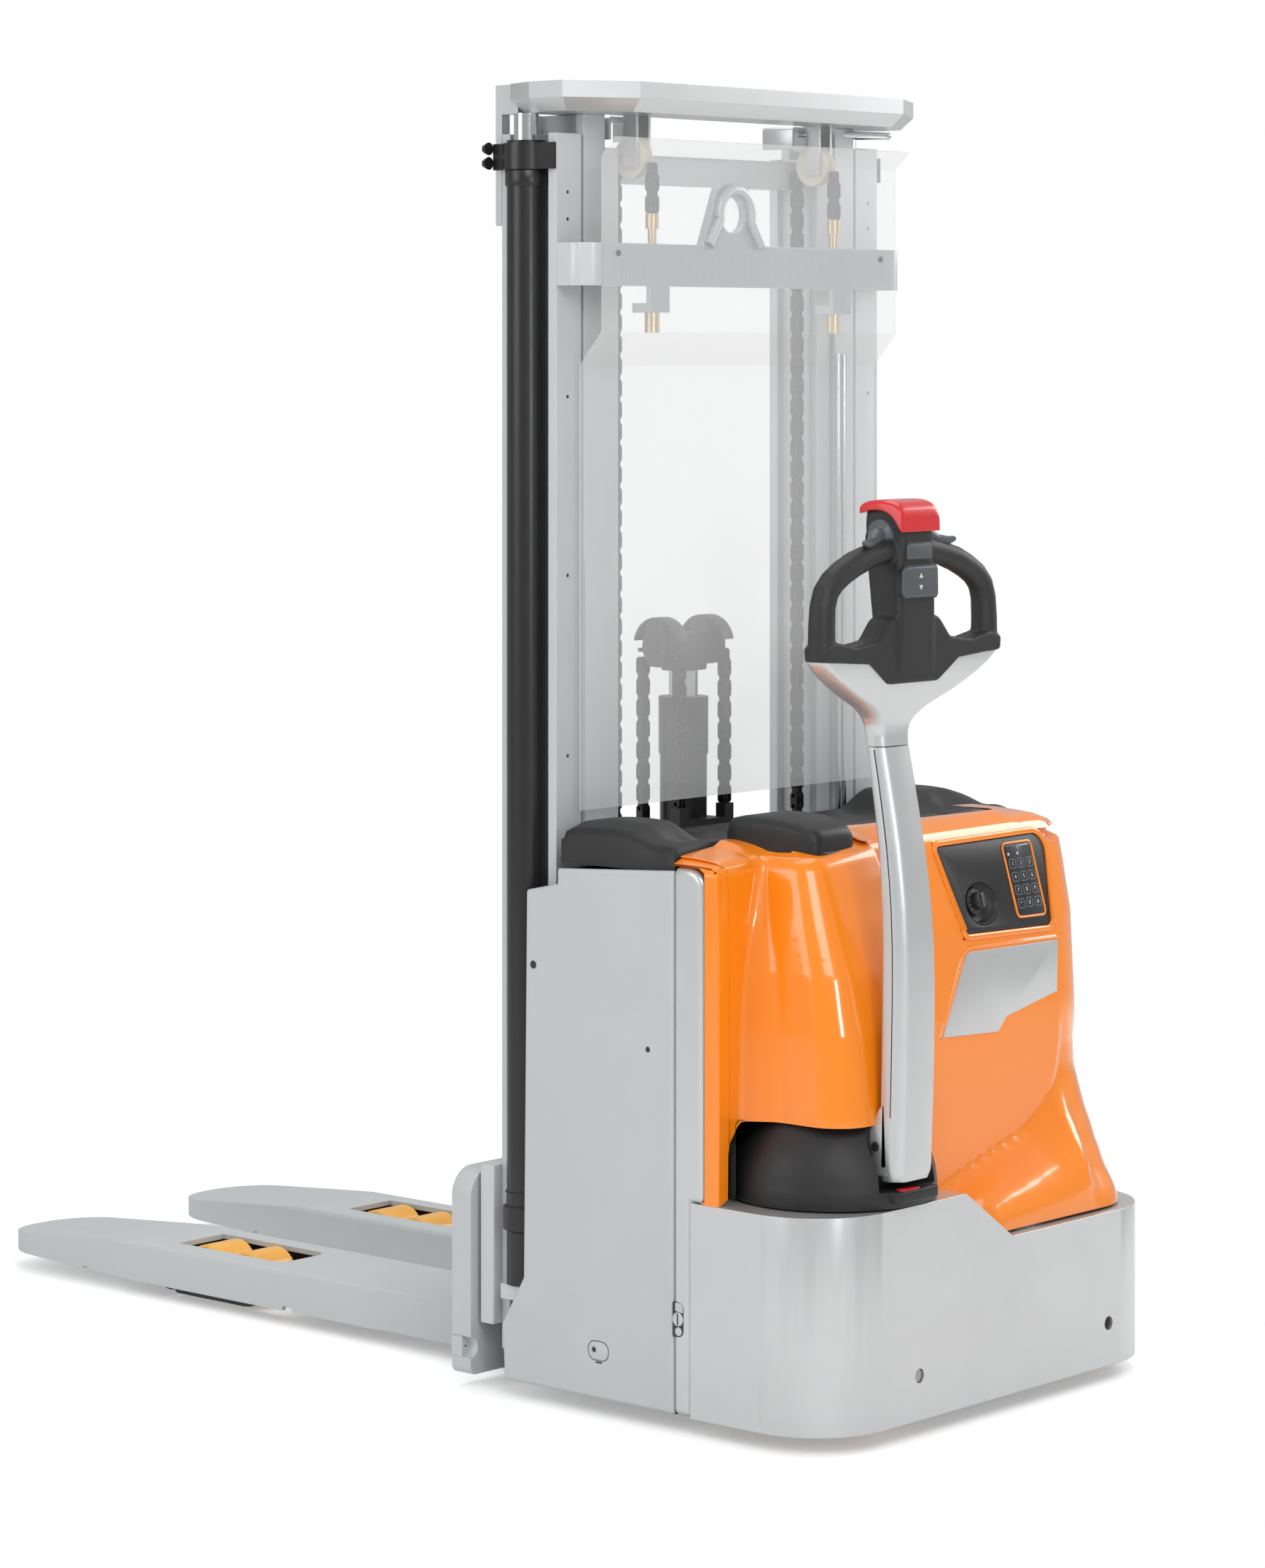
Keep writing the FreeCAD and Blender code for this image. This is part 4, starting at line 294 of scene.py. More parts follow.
def rounded(points, steps=6):
    """Corner points (u, v, radius) to an outline with each corner as an arc of steps + 1 points."""
    outline, count = [], len(points)
    for i, (u, v, radius) in enumerate(points):
        here = Vector((u, v))
        back, on = Vector(points[i - 1][:2]) - here, Vector(points[(i + 1) % count][:2]) - here
        if radius <= 0:
            outline += [here] * (steps + 1)
            continue
        half = max(0.02, back.angle(on) / 2)
        reach = min(radius / math.tan(half), 0.49 * back.length, 0.49 * on.length)
        if half > 1.56 or reach < 0.01:
            outline += [here] * (steps + 1)
            continue
        radius = reach * math.tan(half)
        back.normalize(), on.normalize()
        middle = here + (back + on).normalized() * math.hypot(reach, radius)
        a, b = here + back * reach - middle, here + on * reach - middle
        turn = a.angle_signed(b)
        for s in range(steps + 1):
            outline.append(middle + Matrix.Rotation(-turn * s / steps, 2) @ a)
    return outline


COVER_REAR = 100  # y of the cover's upright rear
LEAN_Z, LEAN = 549, 8 / 125  # from this height it leans forwards by this share
SLOPE_Z, SLOPE = 674, 0.25  # and from this height it slopes


def on_cover(x, z, out):
    """A point out from the cover's flat rear."""
    slope = 0 if z < LEAN_Z else LEAN if z < SLOPE_Z else SLOPE
    y = COVER_REAR + LEAN * max(0, min(z, SLOPE_Z) - LEAN_Z) + SLOPE * max(0, z - SLOPE_Z)
    size = math.hypot(1, slope)
    return at(x, y - out / size, z + out * slope / size)


PLANES = {"XY": at, "XZ": lambda u, v, w: at(u, w, v), "YZ": lambda u, v, w: at(w, u, v), "COVER": on_cover,
          "FLAT": lambda u, v, w: at(u, 100 + 0.047 * (v - 517) - w, v)}


def plate(name, plane, low, high, outline, mat, body, edge=1.5, segments=2, holes=(), sharp=38, **kw):
    """A flat piece of the outline between two coordinates, its rims rounded, with holes as outlines."""
    put = PLANES[plane]
    bm = bmesh.new()
    for loop in [outline, *holes]:
        corners = [bm.verts.new(put(*tuple(p)[:2], low)) for p in loop]
        for a, b in zip(corners, corners[1:] + corners[:1]):
            if (a.co - b.co).length > 1e-9:
                bm.edges.new((a, b))
    bmesh.ops.remove_doubles(bm, verts=bm.verts, dist=0.00001)
    if holes:
        bmesh.ops.triangle_fill(bm, use_beauty=True, use_dissolve=True, edges=bm.edges[:])
        bmesh.ops.dissolve_limit(bm, angle_limit=0.01, verts=bm.verts[:], edges=bm.edges[:])
    else:
        bmesh.ops.contextual_create(bm, geom=bm.edges[:])
    made = bmesh.ops.extrude_face_region(bm, geom=bm.faces[:])
    bmesh.ops.translate(bm, verts=[v for v in made["geom"] if isinstance(v, bmesh.types.BMVert)],
                        vec=put(0, 0, high) - put(0, 0, low))
    bmesh.ops.recalc_face_normals(bm, faces=bm.faces[:])
    if edge:
        rims = [e for e in bm.edges if len(e.link_faces) == 2 and e.calc_face_angle(0) > math.radians(50)]
        bmesh.ops.bevel(bm, geom=rims, offset=edge / 1000, segments=segments, profile=0.5, affect="EDGES",
                        clamp_overlap=True)
    mesh = bpy.data.meshes.new(name)
    bm.to_mesh(mesh)
    bm.free()
    return finish(name, mesh, mat, body, sharp, **kw)


def border(name, plane, low, high, outer, inner, mat, body, turn=0.4):
    """A closed frame between two outlines of equal length, its upper rims broken."""
    put = PLANES[plane]
    lift = turn if high > low else -turn
    between = [[o.lerp(i, share) for o, i in zip(outer, inner)] for share in (0.18, 0.82)]
    loops = [(outer, low), (outer, high - lift), (between[0], high), (between[1], high), (inner, high - lift),
             (inner, low), (outer, low)]
    sections = [[put(p.x, p.y, w) for p in line] for line, w in loops]
    return rings(name, sections, mat, body, cap=False, sharp=60)


def lathe(name, origin, axis, profile, mat, body, steps=48, sharp=30, way=1, **kw):
    """Turns a profile of (distance along the axis, radius) about an axis through origin."""
    ahead, right, up = {"X": ((1, 0, 0), (0, 1, 0), (0, 0, 1)), "Y": ((0, 1, 0), (0, 0, 1), (1, 0, 0)),
                        "Z": ((0, 0, 1), (1, 0, 0), (0, 1, 0))}[axis]
    ahead, right, up, centre = Vector(ahead), Vector(right), Vector(up), Vector(origin)
    sections = [[at(*(centre + ahead * (way * a) + (right * math.cos(t) + up * math.sin(t)) * max(r, 0.01)))
                 for t in circle(steps)] for a, r in profile]
    return rings(name, sections, mat, body, sharp=sharp, **kw)


def tube(name, points, radius, mat, body, steps=16, sharp=30):
    """A round bar along points, of one radius or one for each point."""
    points = [Vector(p) for p in points]
    radii = radius if isinstance(radius, list) else [radius] * len(points)
    sections, up = [], Vector((0.13, 0.27, 0.95))
    for i, (p, size) in enumerate(zip(points, radii)):
        ahead = (points[min(i + 1, len(points) - 1)] - points[max(i - 1, 0)]).normalized()
        side = ahead.cross(up).normalized()
        up = side.cross(ahead).normalized()
        sections.append([at(*(p + (side * math.cos(t) + up * math.sin(t)) * size)) for t in circle(steps)])
    return rings(name, sections, mat, body, sharp=sharp)


def join(name, objects, body=None, **kw):
    """Joins pieces of one body into the first and names it."""
    first = objects[0]
    bm = bmesh.new()
    mats = []
    for o in objects:
        start = len(bm.faces)
        bm.from_mesh(o.data)
        bm.faces.ensure_lookup_table()
        mat = o.data.materials[0]
        if mat not in mats:
            mats.append(mat)
        for face in bm.faces[start:]:
            face.material_index = mats.index(mat)
    bm.to_mesh(first.data)
    bm.free()
    for mat in mats[1:]:
        first.data.materials.append(mat)
    for o in objects[1:]:
        bpy.data.objects.remove(o)
    first.name = name
    return ride(first, body, **kw) if body else first


# Rear cover: level outlines from the left band over the barrel to the right side, joined upwards.

BARREL = [  # z, centre y, radius
    (437, 139, 110), (443, 139, 110), (560, 146, 108), (640, 158, 102), (705, 174, 94), (790, 192, 78),
    (830, 200, 72)]
RIGHT_REAR = [  # z, rear y right of the barrel
    (259, 100), (549, 100), (674, 108), (790, 137), (830, 149)]
RIGHT_EDGE = [  # z, outer x of the right side, corner radius
    (250, 366, 100), (300, 369, 102), (340, 373, 104), (430, 379, 100), (549, 376, 106), (674, 376, 104),
    (746, 375, 95), (830, 368, 90)]
SWOOSH = [  # x, z of the line under which the foot flares out
    (-90, 300), (-20, 306), (35, 325), (115, 347), (180, 365), (225, 392), (257, 420), (290, 440), (376, 450)]
SIDE_FLARE = [(256, 1.0), (275, 0.84), (300, 0.5), (339, 0.22), (380, 0.08), (420, 0.02), (480, 0)]
FLARE = [(0, 0), (0.03, 0.08), (0.12, 0.2), (0.3, 0.59), (0.42, 0.79), (0.57, 0.91), (0.76, 0.98), (1.0, 1.0)]
FOOT_LINE = [(-120, 323), (-90, 323), (19, 252), (400, 252)]
COVER_TOP = [  # x, rear z, front z, front y, rounding of the top edge
    (-400, 788, 789, 279, 10), (-385, 791, 794, 279, 14), (-366, 797, 803, 279, 18),
    (-335, 803, 814, 279, 24), (-300, 804, 821, 279, 26), (-268, 803, 829, 276, 24),
    (-216, 802, 829, 262, 20), (-165, 806, 829, 240, 20), (-140, 812, 827, 214, 20),
    (-60, 817, 826, 200, 22), (215, 818, 825, 190, 22), (226, 818, 825, 192, 24), (230, 818, 824, 279, 26),
    (290, 817, 822, 279, 26), (325, 813, 819, 279, 28), (348, 807, 812, 279, 30), (366, 797, 800, 279, 30),
    (376, 788, 789, 279, 30), (400, 788, 789, 279, 30)]
CREASE = [  # z, x of the right-hand crease
    (404, 234), (425, 252), (449, 262), (491, 271), (573, 274), (634, 272)]
PANEL_LEFT, PANEL_RIGHT = [(662, 44), (796, 10)], [(655, 260), (798, 282)]  # z, x of the hollow for the panel
DOME_EDGE = [  # x, lower edge of the cover over the dome
    (-400, 323), (-378, 323), (-377, 394), (-370, 408), (-346, 434), (-336, 437), (-100, 437), (-92, 437),
    (-91, 323)]
COVER_FRONT = 219  # y at which the cover's sides end


def cover_outline(z):
    cy, radius = along(BARREL, z)
    rear = along(RIGHT_REAR, z)[0]
    edge, corner = along(RIGHT_EDGE, z)
    wall = 198 + 4 * smooth(z, 690, 800)
    left, right = STEER_X - radius, STEER_X + radius
    bend = 12 + 30 * smooth(z, 660, 790)
    points = [(-400, COVER_FRONT, 0), (-400, wall - 3, 5), (-376, wall - 3, 8), (-370, wall, 8),
              (left - 20 + 6 * smooth(z, 600, 790), wall, bend), (left - 1, cy + 6, 60),
              (left, cy - radius * 0.98, radius * 0.96), (right, cy - radius * 0.98, radius * 0.96),
              (right + 4, rear, 30)]
    outline = rounded(points, 10)
    start = outline.pop()
    end_x = edge - corner
    for s in range(73):
        x = start.x + (end_x - start.x) * s / 72
        line = along(SWOOSH, x)[0]
        down = along(FLARE, clamp((line - z) / (line - 256)))[0] if z < line else 0
        side = smooth(x, 225, 300)
        if side > 0:
            down = down * (1 - side) + along(SIDE_FLARE, z)[0] * side
        y = rear - 84 * down * smooth(x, -70, 10)
        if along(PANEL_LEFT, z)[0] < x < along(PANEL_RIGHT, z)[0] and 662 < z < 797:
            y += 26
        crease = along(CREASE, z)[0]
        step = smooth(x, crease - 2, crease + 6) * (1 - smooth(x, crease + 16, crease + 90))
        y += 6.0 * step * smooth(z, 400, 450) * (1 - smooth(z, 600, 650))
        outline.append(Vector((x, y)))
    rear_end = outline[-1].y
    reach = min(COVER_FRONT - rear_end, corner)
    for turn in turned(0, 90, 16)[1:]:
        outline.append(Vector((end_x + corner * math.sin(turn), rear_end + reach * (1 - math.cos(turn)))))
    return outline + [Vector((edge, COVER_FRONT))]


def rear_cover():
    """Rows of the outline rise from the lower edge, turn in at the top and run forwards to the tray."""
    shape = {}

    def level(z):
        if round(z) not in shape:
            shape[round(z)] = cover_outline(round(z))
        return shape[round(z)]

    plan = level(560)
    count, steps, lid = len(plan), 84, 8
    rows = []
    for k in range(-2, steps + lid + 1):
        row = []
        for c, (x, _) in enumerate(plan):
            low = along(DOME_EDGE if x < -91 else FOOT_LINE, x)[0]
            rear_z, front_z, front_y, turn = along(COVER_TOP, x)
            if k > steps:
                t = (k - steps) / lid
                last = rows[steps + 2][c]
                rise = (front_z - last.z) * (1 - (1 - t) ** 2)
                row.append(last + Vector((0, (front_y - last.y) * t, rise)))
                continue
            z = low + (rear_z - low) * max(k, 0) / steps
            here, before, after = level(z)[c], level(z)[max(c - 1, 0)], level(z)[min(c + 1, count - 1)]
            tangent = after - before
            normal = Vector((-tangent.y, tangent.x)).normalized() if tangent.length > 1e-6 else Vector((0, 1))
            rise = max(0, z - (rear_z - turn))
            inset = turn - math.sqrt(max(0.0, turn * turn - rise * rise))
            if k < 0:
                inset = -4.0 * k
                z += 1.0 if k == -1 else 3.0
            x, y = here + normal * inset
            row.append(Vector((x, min(y, COVER_FRONT if c in (0, count - 1) else 400), z)))
        rows.append(row)
    make("rear_cover_shell", [at(*p) for row in rows for p in row], grid_faces(len(rows), count, False),
         orange, "chassis", 50, replaces=("rear_cover",), slot="orange")


def cover_recess():
    """Walls of the hollow around the dome, seen past it."""
    angles = turned(-12, 170, 40)
    verts = [at(STEER_X + radius * math.cos(t), STEER_Y + radius * math.sin(t), z)
             for radius, z in ((154, 325), (154, 432), (150, 437), (100, 438)) for t in angles]
    make("cover_recess", verts, grid_faces(4, len(angles), False), black, "chassis", 40)


# Cap over the steering shaft and the tray between cover and mast

def quad(low, high, steps):
    """Four corners about the steering axis: a lower and an upper pair as (height, half width, radius)."""
    pairs = (low, (-1, 1)), (high, (1, -1))
    return rounded([(STEER_X + side * half, v, turn) for (v, half, turn), sides in pairs for side in sides],
                   steps)


def steering_cap():
    """The hood and the lip below it, as upright outlines from the rear forwards."""
    hood = [  # y, half width, low z, high z, lower radius, upper radius
        (134, 32, 796, 820, 4, 10), (135, 38, 791, 827, 4, 13), (138, 43, 788, 832, 4, 15),
        (146, 47, 788, 838, 4, 16), (165, 51, 790, 844, 4, 16), (190, 55, 796, 848, 4, 16),
        (225, 58, 800, 850, 4, 16), (262, 60, 803, 849, 4, 15), (280, 59, 804, 845, 4, 14),
        (286, 56, 806, 838, 4, 12), (288, 50, 808, 830, 4, 10)]
    lip = [(131, 26, 782, 800, 6, 4), (132, 31, 779, 803, 6, 4), (136, 34, 777, 806, 6, 4),
           (160, 36, 777, 806, 6, 4), (175, 34, 780, 804, 6, 4)]
    pieces = []
    for table in (hood, lip):
        sections = [[at(p.x, y, p.y) for p in quad((low, half, low_turn), (high, half, high_turn), 5)]
                    for y, half, low, high, low_turn, high_turn in table]
        pieces.append(rings("cap", sections, black, "chassis", sharp=55))
    join("steering_cap_hood", pieces, "chassis", replaces=("steering_cap",))


def tray_height(x, y):
    ends = smooth(abs(x), 226, 300)
    crown = 838 - 0.0011 * (y - 418) ** 2 - 10 * smooth(abs(x), 340, 392)
    floor = 806 + 7 * (1 - smooth(abs(y - 292), 8, 20)) - 6 * smooth(y, 315, 330) * (1 - smooth(y, 470, 486))
    sweep = smooth(y, 268 + 60 * (1 - smooth(abs(x), 300, 390)), 380)
    return floor + (crown - floor) * ends * (0.25 + 0.75 * sweep)


TRAY_REAR = [  # x, rear y of the tray
    (-390, 281), (-300, 281), (-262, 277), (-216, 264), (-160, 240), (-140, 214), (-60, 202), (215, 192),
    (225, 194), (229, 281), (390, 281)]


def tray_cover():
    """The tray's top with its rounded rim, and walls down from it."""
    half, front, across, deep, turn = 390, 496, 131, 45, 12
    verts = []
    for i in range(across):
        x = -half + 2 * half * i / (across - 1)
        rear = along(TRAY_REAR, x)[0]
        for j in range(deep):
            y = rear + (front - rear) * (j / (deep - 1))
            rim = clamp(min(y - rear, front - y, x + half, half - x) / turn)
            sunk = turn * (1 - math.sqrt(clamp(1 - (1 - rim) ** 2)))
            verts.append((x, y, tray_height(x, max(y, 281)) - sunk))
    edge = list(range(deep)) + [(i + 1) * deep - 1 for i in range(1, across)]
    edge += [across * deep - 1 - j for j in range(1, deep)] + [i * deep for i in range(across - 2, 0, -1)]
    base, n = len(verts), len(edge)
    verts += [(*verts[e][:2], 776) for e in edge]
    faces = grid_faces(across, deep, False)
    faces += [(edge[k], edge[(k + 1) % n], base + (k + 1) % n, base + k) for k in range(n)]
    make("tray_cover_shell", [at(*v) for v in verts], faces, black, "chassis", 50, replaces=("tray_cover",),
         slot="black")


# Control panel with its knob and keypad, and the blank plate below it

PANEL = [(49, 664, 12), (255, 659, 10), (277, 794, 26), (15, 792, 5)]
KNOB = (97, 705)
KEYPAD = [(177, 676, 8), (245, 675, 8), (240, 782, 8), (170, 782, 8)]
NAME_PLATE = [(-16, 523, 1), (115, 517, 4), (137, 537, 12), (262, 560, 0), (269, 635, 2), (48, 638, 14)]


def grow(corners, by):
    """Corner points moved out from the middle of the outline, with their rounding."""
    loop = [Vector(c[:2]) for c in corners]
    sign = 1 if sum(a.x * b.y - b.x * a.y for a, b in zip(loop, loop[1:] + loop[:1])) > 0 else -1
    moved = []
    for i, here in enumerate(loop):
        back, on = (here - loop[i - 1]).normalized(), (loop[(i + 1) % len(loop)] - here).normalized()
        sides = Vector((back.y, -back.x)) * sign, Vector((on.y, -on.x)) * sign
        middle = (sides[0] + sides[1]).normalized()
        move = here + middle * by / max(0.4, middle.dot(sides[0]))
        moved.append((move.x, move.y, max(0, corners[i][2] + by)))
    return moved


def oval(cx, cz, half_x, half_z, steps=40):
    return [Vector((cx + half_x * math.cos(t), cz + half_z * math.sin(t))) for t in circle(steps)]


def box(cx, cz, half_x, half_z, turn=0, steps=4):
    """A rectangle's outline about its middle, its corners rounded."""
    corners = [(cx - half_x, cz - half_z), (cx + half_x, cz - half_z), (cx + half_x, cz + half_z),
               (cx - half_x, cz + half_z)]
    return rounded([(*c, turn) for c in corners], steps) if turn else corners


def stack(name, outlines, mat, cap=True):
    """Outlines on the cover's rear at their own heights, joined in turn."""
    return rings(name, [[on_cover(p.x, p.y, out) for p in line] for line, out in outlines], mat, "chassis",
                 sharp=40, cap=cap)


def letter(text, x, z, size, out, mat):
    """A flat character on the cover's rear."""
    curve = bpy.data.curves.new("character", "FONT")
    curve.body = text
    curve.size = size
    curve.align_x = curve.align_y = "CENTER"
    shape = bpy.data.objects.new("character", curve)
    bpy.context.scene.collection.objects.link(shape)
    bpy.context.view_layer.update()
    mesh = bpy.data.meshes.new_from_object(shape.evaluated_get(bpy.context.evaluated_depsgraph_get()))
    bpy.data.objects.remove(shape)
    for vert in mesh.vertices:
        vert.co = on_cover(x + vert.co.x, z + vert.co.y, out)
    return place("character", mesh, mat)


def control_panel():
    plate("panel_rim", "COVER", -8, 3.4, rounded(grow(PANEL, 9), 8), orange, "chassis", edge=3.0, segments=3,
          holes=[rounded(PANEL, 8)])
    kx, kz = KNOB
    face = plate("face", "COVER", -9, 0.6, rounded(grow(PANEL, -0.6), 8), black_panel, "chassis", edge=1.0,
                 holes=[oval(kx, kz, 37, 31)])
    bowl = [(0, 37.6, 31.6, 0.2), (0, 36, 30, -1.2), (0, 34, 28, -6), (1, 29, 24, -12), (2, 18, 15, -15),
            (2, 2, 2, -15.5)]  # shift, half width, half height, height over the face
    pieces = [face, stack("bowl", [(oval(kx - shift, kz - shift, *half), out) for shift, *half, out in bowl],
                          black, cap=False)]
    kx, kz = kx - 2, kz + 3
    knob = [(19, -15), (19, -9), (17.5, -8), (12.6, -7.4), (12, 3), (10.6, 4.6), (2, 4.6)]  # radius, height
    pieces.append(stack("knob", [(oval(kx, kz, r, r), out) for r, out in knob], black_panel))
    pieces.append(plate("pointer", "COVER", 4, 6.6, box(kx, kz, 2.4, 10), gunmetal, "chassis", edge=0.8))
    middle = Vector((kx, kz))
    for k, turn in enumerate(turned(-40, 260, 10)):
        line = Vector((math.cos(turn), math.sin(turn)))
        side = Vector((-line.y, line.x)) * 0.5
        near, far = middle + line * 14.6, middle + line * (17.2 if k % 5 else 18.2)
        pieces.append(plate("mark", "COVER", -8.2, -7.2, [near - side, far - side, far + side, near + side],
                            print_grey, "chassis", edge=0))
    join("panel_face", pieces, "chassis", replaces=("control_panel",))

    def pad(by):
        return rounded(grow(KEYPAD, by), 6)

    pieces = [border("lip", "COVER", -4, 1.9, pad(1.6), pad(-1.4), orange, "chassis"),
              plate("bed", "COVER", -6, 1.0, pad(-1.2), black_panel, "chassis", edge=1.2),
              plate("film", "COVER", 0.6, 1.35, pad(-3.6), key_film, "chassis", edge=0.3)]
    for row, line in enumerate(("123", "456", "789", "*0#")):
        for column, sign in enumerate(line):
            x, z = 187 + 20.3 * column + 0.9 * row, 752 - 19 * row
            outer, inner = box(x, z, 7.6, 6.8, 3), box(x, z, 6.9, 6.1, 2.5)
            pieces += [border("key_line", "COVER", 1.2, 1.75, outer, inner, print_grey, "chassis", 0.15),
                       letter(sign, x, z, 8.5, 1.6, print_white)]
    light = (2.2, 1.0), (2, 2), (0.8, 2.3)  # radius, height
    pieces += [stack("light", [(oval(x, 766, r, r, 16), out) for r, out in light], print_white)
               for x in (181, 203)]
    join("keypad", pieces, "chassis")

    plate("blank_plate", "FLAT", -3, 2.0, rounded(NAME_PLATE, 6), silver, "chassis", edge=0.9)
    line = [(-21, 522), (34, 626), (40, 636), (50, 642), (62, 644), (160, 642), (264, 640), (272, 637),
            (276, 630)]
    tube("plate_bead", [(x, COVER_REAR + 1.4 + LEAN * max(0, z - LEAN_Z), z) for x, z in line], 3.4, orange,
         "chassis", steps=10)


# Tiller

ARM = [  # z, rear y, half width, depth
    (361, -13, 41, 39), (364, -14, 42, 40), (420, -16, 42, 41), (480, -18.5, 42, 42), (545, -20, 42, 42),
    (620, -21, 41.5, 42), (683, -20, 41, 41), (735, -16.5, 40, 39.5), (774, -12, 39.3, 38),
    (820, -5.5, 38.5, 36), (866, 3, 37.8, 34), (915, 13, 36.8, 32), (957, 22, 36, 31)]
NECK = [  # z, middle y, half width, half depth
    (958.5, 38, 36, 15.5), (975, 39.5, 36.6, 15.8), (988, 39.5, 39.5, 16.8), (1000, 38, 49, 18.5),
    (1012, 35, 66, 20), (1022, 32, 88, 21), (1032, 28.5, 112, 21.5), (1044, 24.5, 137, 21.5),
    (1056, 20.5, 160, 21), (1070, 17, 183, 20), (1080, 15, 196, 19), (1084, 14, 199, 18.5)]


def arm_section(rear, half, depth, z, rear_turn, front_turn, bow=0.0):
    """A level outline about the steering axis, its rear bowed."""
    return [at(p.x, p.y + bow * abs((p.x - STEER_X) / half) ** 2.2 * (p.y < rear + depth / 2), z)
            for p in quad((rear, half, rear_turn), (rear + depth, half, front_turn), 7)]


def tiller_arm():
    low, high = 361, 957
    sections = []
    for k in range(61):
        z = low + (high - low) * k / 60
        rear, half, depth = along(ARM, z)
        end = 2.5 * (1 - smooth(k, 0, 1.5))
        sections.append(arm_section(rear + end, half - end, depth - 2 * end, z, 17, 6, 6.0))
    pieces = [rings("arm", sections, silver, "tiller", sharp=50)]
    for side, _ in SIDES:
        seam = []
        for z in range(450, high, 12):
            rear, half, depth = along(ARM, z)
            seam.append((STEER_X + side * (half + 0.15), rear + depth * 0.52, z))
        pieces.append(tube("seam", seam, 0.7, black_panel, "tiller", steps=6))
        x = STEER_X + side * 42
        ear = [(10, 368, 3), (34, 368, 8), (46, 392, 14), (44, 424, 14), (24, 462, 30), (14, 470, 3)]
        pieces.append(plate("ear", "YZ", x, x - side * 9, rounded(ear, 6), silver, "tiller", edge=2))
        screw = [(-1, 0), (-1, 7), (2.2, 6.4), (2.4, 3.2), (0.8, 3.0), (0.8, 0)]
        pieces.append(lathe("screw", (x, 30, 408), "X", screw, dark_steel, "tiller", steps=20, way=side))
    join("tiller_arm_shell", pieces, "tiller", replaces=("tiller_arm",), slot="silver")


def tiller_neck():
    low, high = NECK[0][0], NECK[-1][0]
    sections = []
    for k in range(41):
        z = low + (high - low) * k / 40
        middle, half, deep = along(NECK, z)
        wide = smooth(z, 975, 1030)
        sections.append(arm_section(middle - deep, half, deep * 2, z, 15, 6 + 9 * wide, 6.0 * (1 - wide)))
    rings("tiller_neck_shell", sections, silver, "tiller", sharp=60, replaces=("tiller_neck",), slot="silver")


def organic(name, objects, mat, body, voxel, rounds, trim=None, **kw):
    """Melts overlapping closed forms into one smooth skin."""
    whole = join(name, objects)
    whole.parent = None
    whole.matrix_world = Matrix.Identity(4)
    skin = whole.modifiers.new("skin", "REMESH")
    skin.mode = "VOXEL"
    skin.voxel_size = voxel / 1000
    even = whole.modifiers.new("even", "SMOOTH")
    even.factor, even.iterations = 0.6, rounds
    bpy.context.view_layer.update()
    mesh = bpy.data.meshes.new_from_object(whole.evaluated_get(bpy.context.evaluated_depsgraph_get()))
    bpy.data.objects.remove(whole)
    for vert in mesh.vertices if trim else ():
        vert.co = trim(vert.co * 1000 + Vector((MIDDLE_X, MIDDLE_Y, 0)))
    mesh.materials.clear()
    finish(name, mesh, mat, body, 70, **kw)


GRIP_BAR = [  # distance from the middle, z, radius
    (182, 1066, 19), (182, 1100, 19), (182, 1130, 18.5), (180, 1158, 18), (173, 1177, 18), (159, 1191, 18),
    (138, 1203, 18), (112, 1214, 18), (80, 1223, 17), (45, 1229, 17), (10, 1231, 16)]
HEAD_COLUMN = [  # z, half width, rear y, front y
    (1052, 48, -8, 34), (1090, 44, -11, 38), (1130, 43, -12, 40), (1165, 43, -12, 44), (1205, 41, -12, 50),
    (1225, 38, -12, 54), (1250, 37, -13, 56), (1268, 37, -12, 57), (1284, 36, -6, 55), (1291, 33, 4, 50)]
WEB_HALF = [  # distance from the middle, z, radius
    (52, 1047, 10), (100, 1076, 6), (196, 1084, 3), (198, 1104, 6), (170, 1110, 22), (128, 1102, 26),
    (80, 1108, 16), (52, 1140, 30)]


def head_trim(p):
    """Cuts the head off level where it meets the neck."""
    low = along([(52, 1046), (98, 1077), (200, 1084.2)], abs(p.x - STEER_X))[0]
    return at(clamp(p.x, STEER_X - 200, STEER_X + 200), p.y, max(p.z, low))


def tiller_head():
    cx, cy = STEER_X, 12.0
    forms = [tube("bar", [(cx + side * u, cy, w) for u, w, _ in GRIP_BAR], [r for *_, r in GRIP_BAR],
                  grip_black, "tiller", steps=20) for side, _ in SIDES]
    web = [(u, w, r) for u, w, r in WEB_HALF] + [(-u, w, r) for u, w, r in reversed(WEB_HALF)]
    forms.append(plate("web", "XZ", cy - 20, cy + 20, [(cx + p.x, p.y) for p in rounded(web, 5)], grip_black,
                       "tiller", edge=6, segments=3))
    low, high = HEAD_COLUMN[0][0], HEAD_COLUMN[-1][0]
    sections = []
    for k in range(25):
        z = low + (high - low) * k / 24
        half, rear, front = along(HEAD_COLUMN, z)
        sections.append(arm_section(rear, half, front - rear, z, 10, 12))
    forms.append(rings("column", sections, grip_black, "tiller"))
    hub = [(-26, 0), (-26, 22), (26, 25), (26, 0)]
    forms += [lathe("hub", (cx + side * 20, 24, 1246), "X", hub, grip_black, "tiller", steps=28)
              for side, _ in SIDES]
    organic("tiller_head_skin", forms, grip_black, "tiller", 2.2, 4, head_trim, replaces=("tiller_head",),
            slot="black")


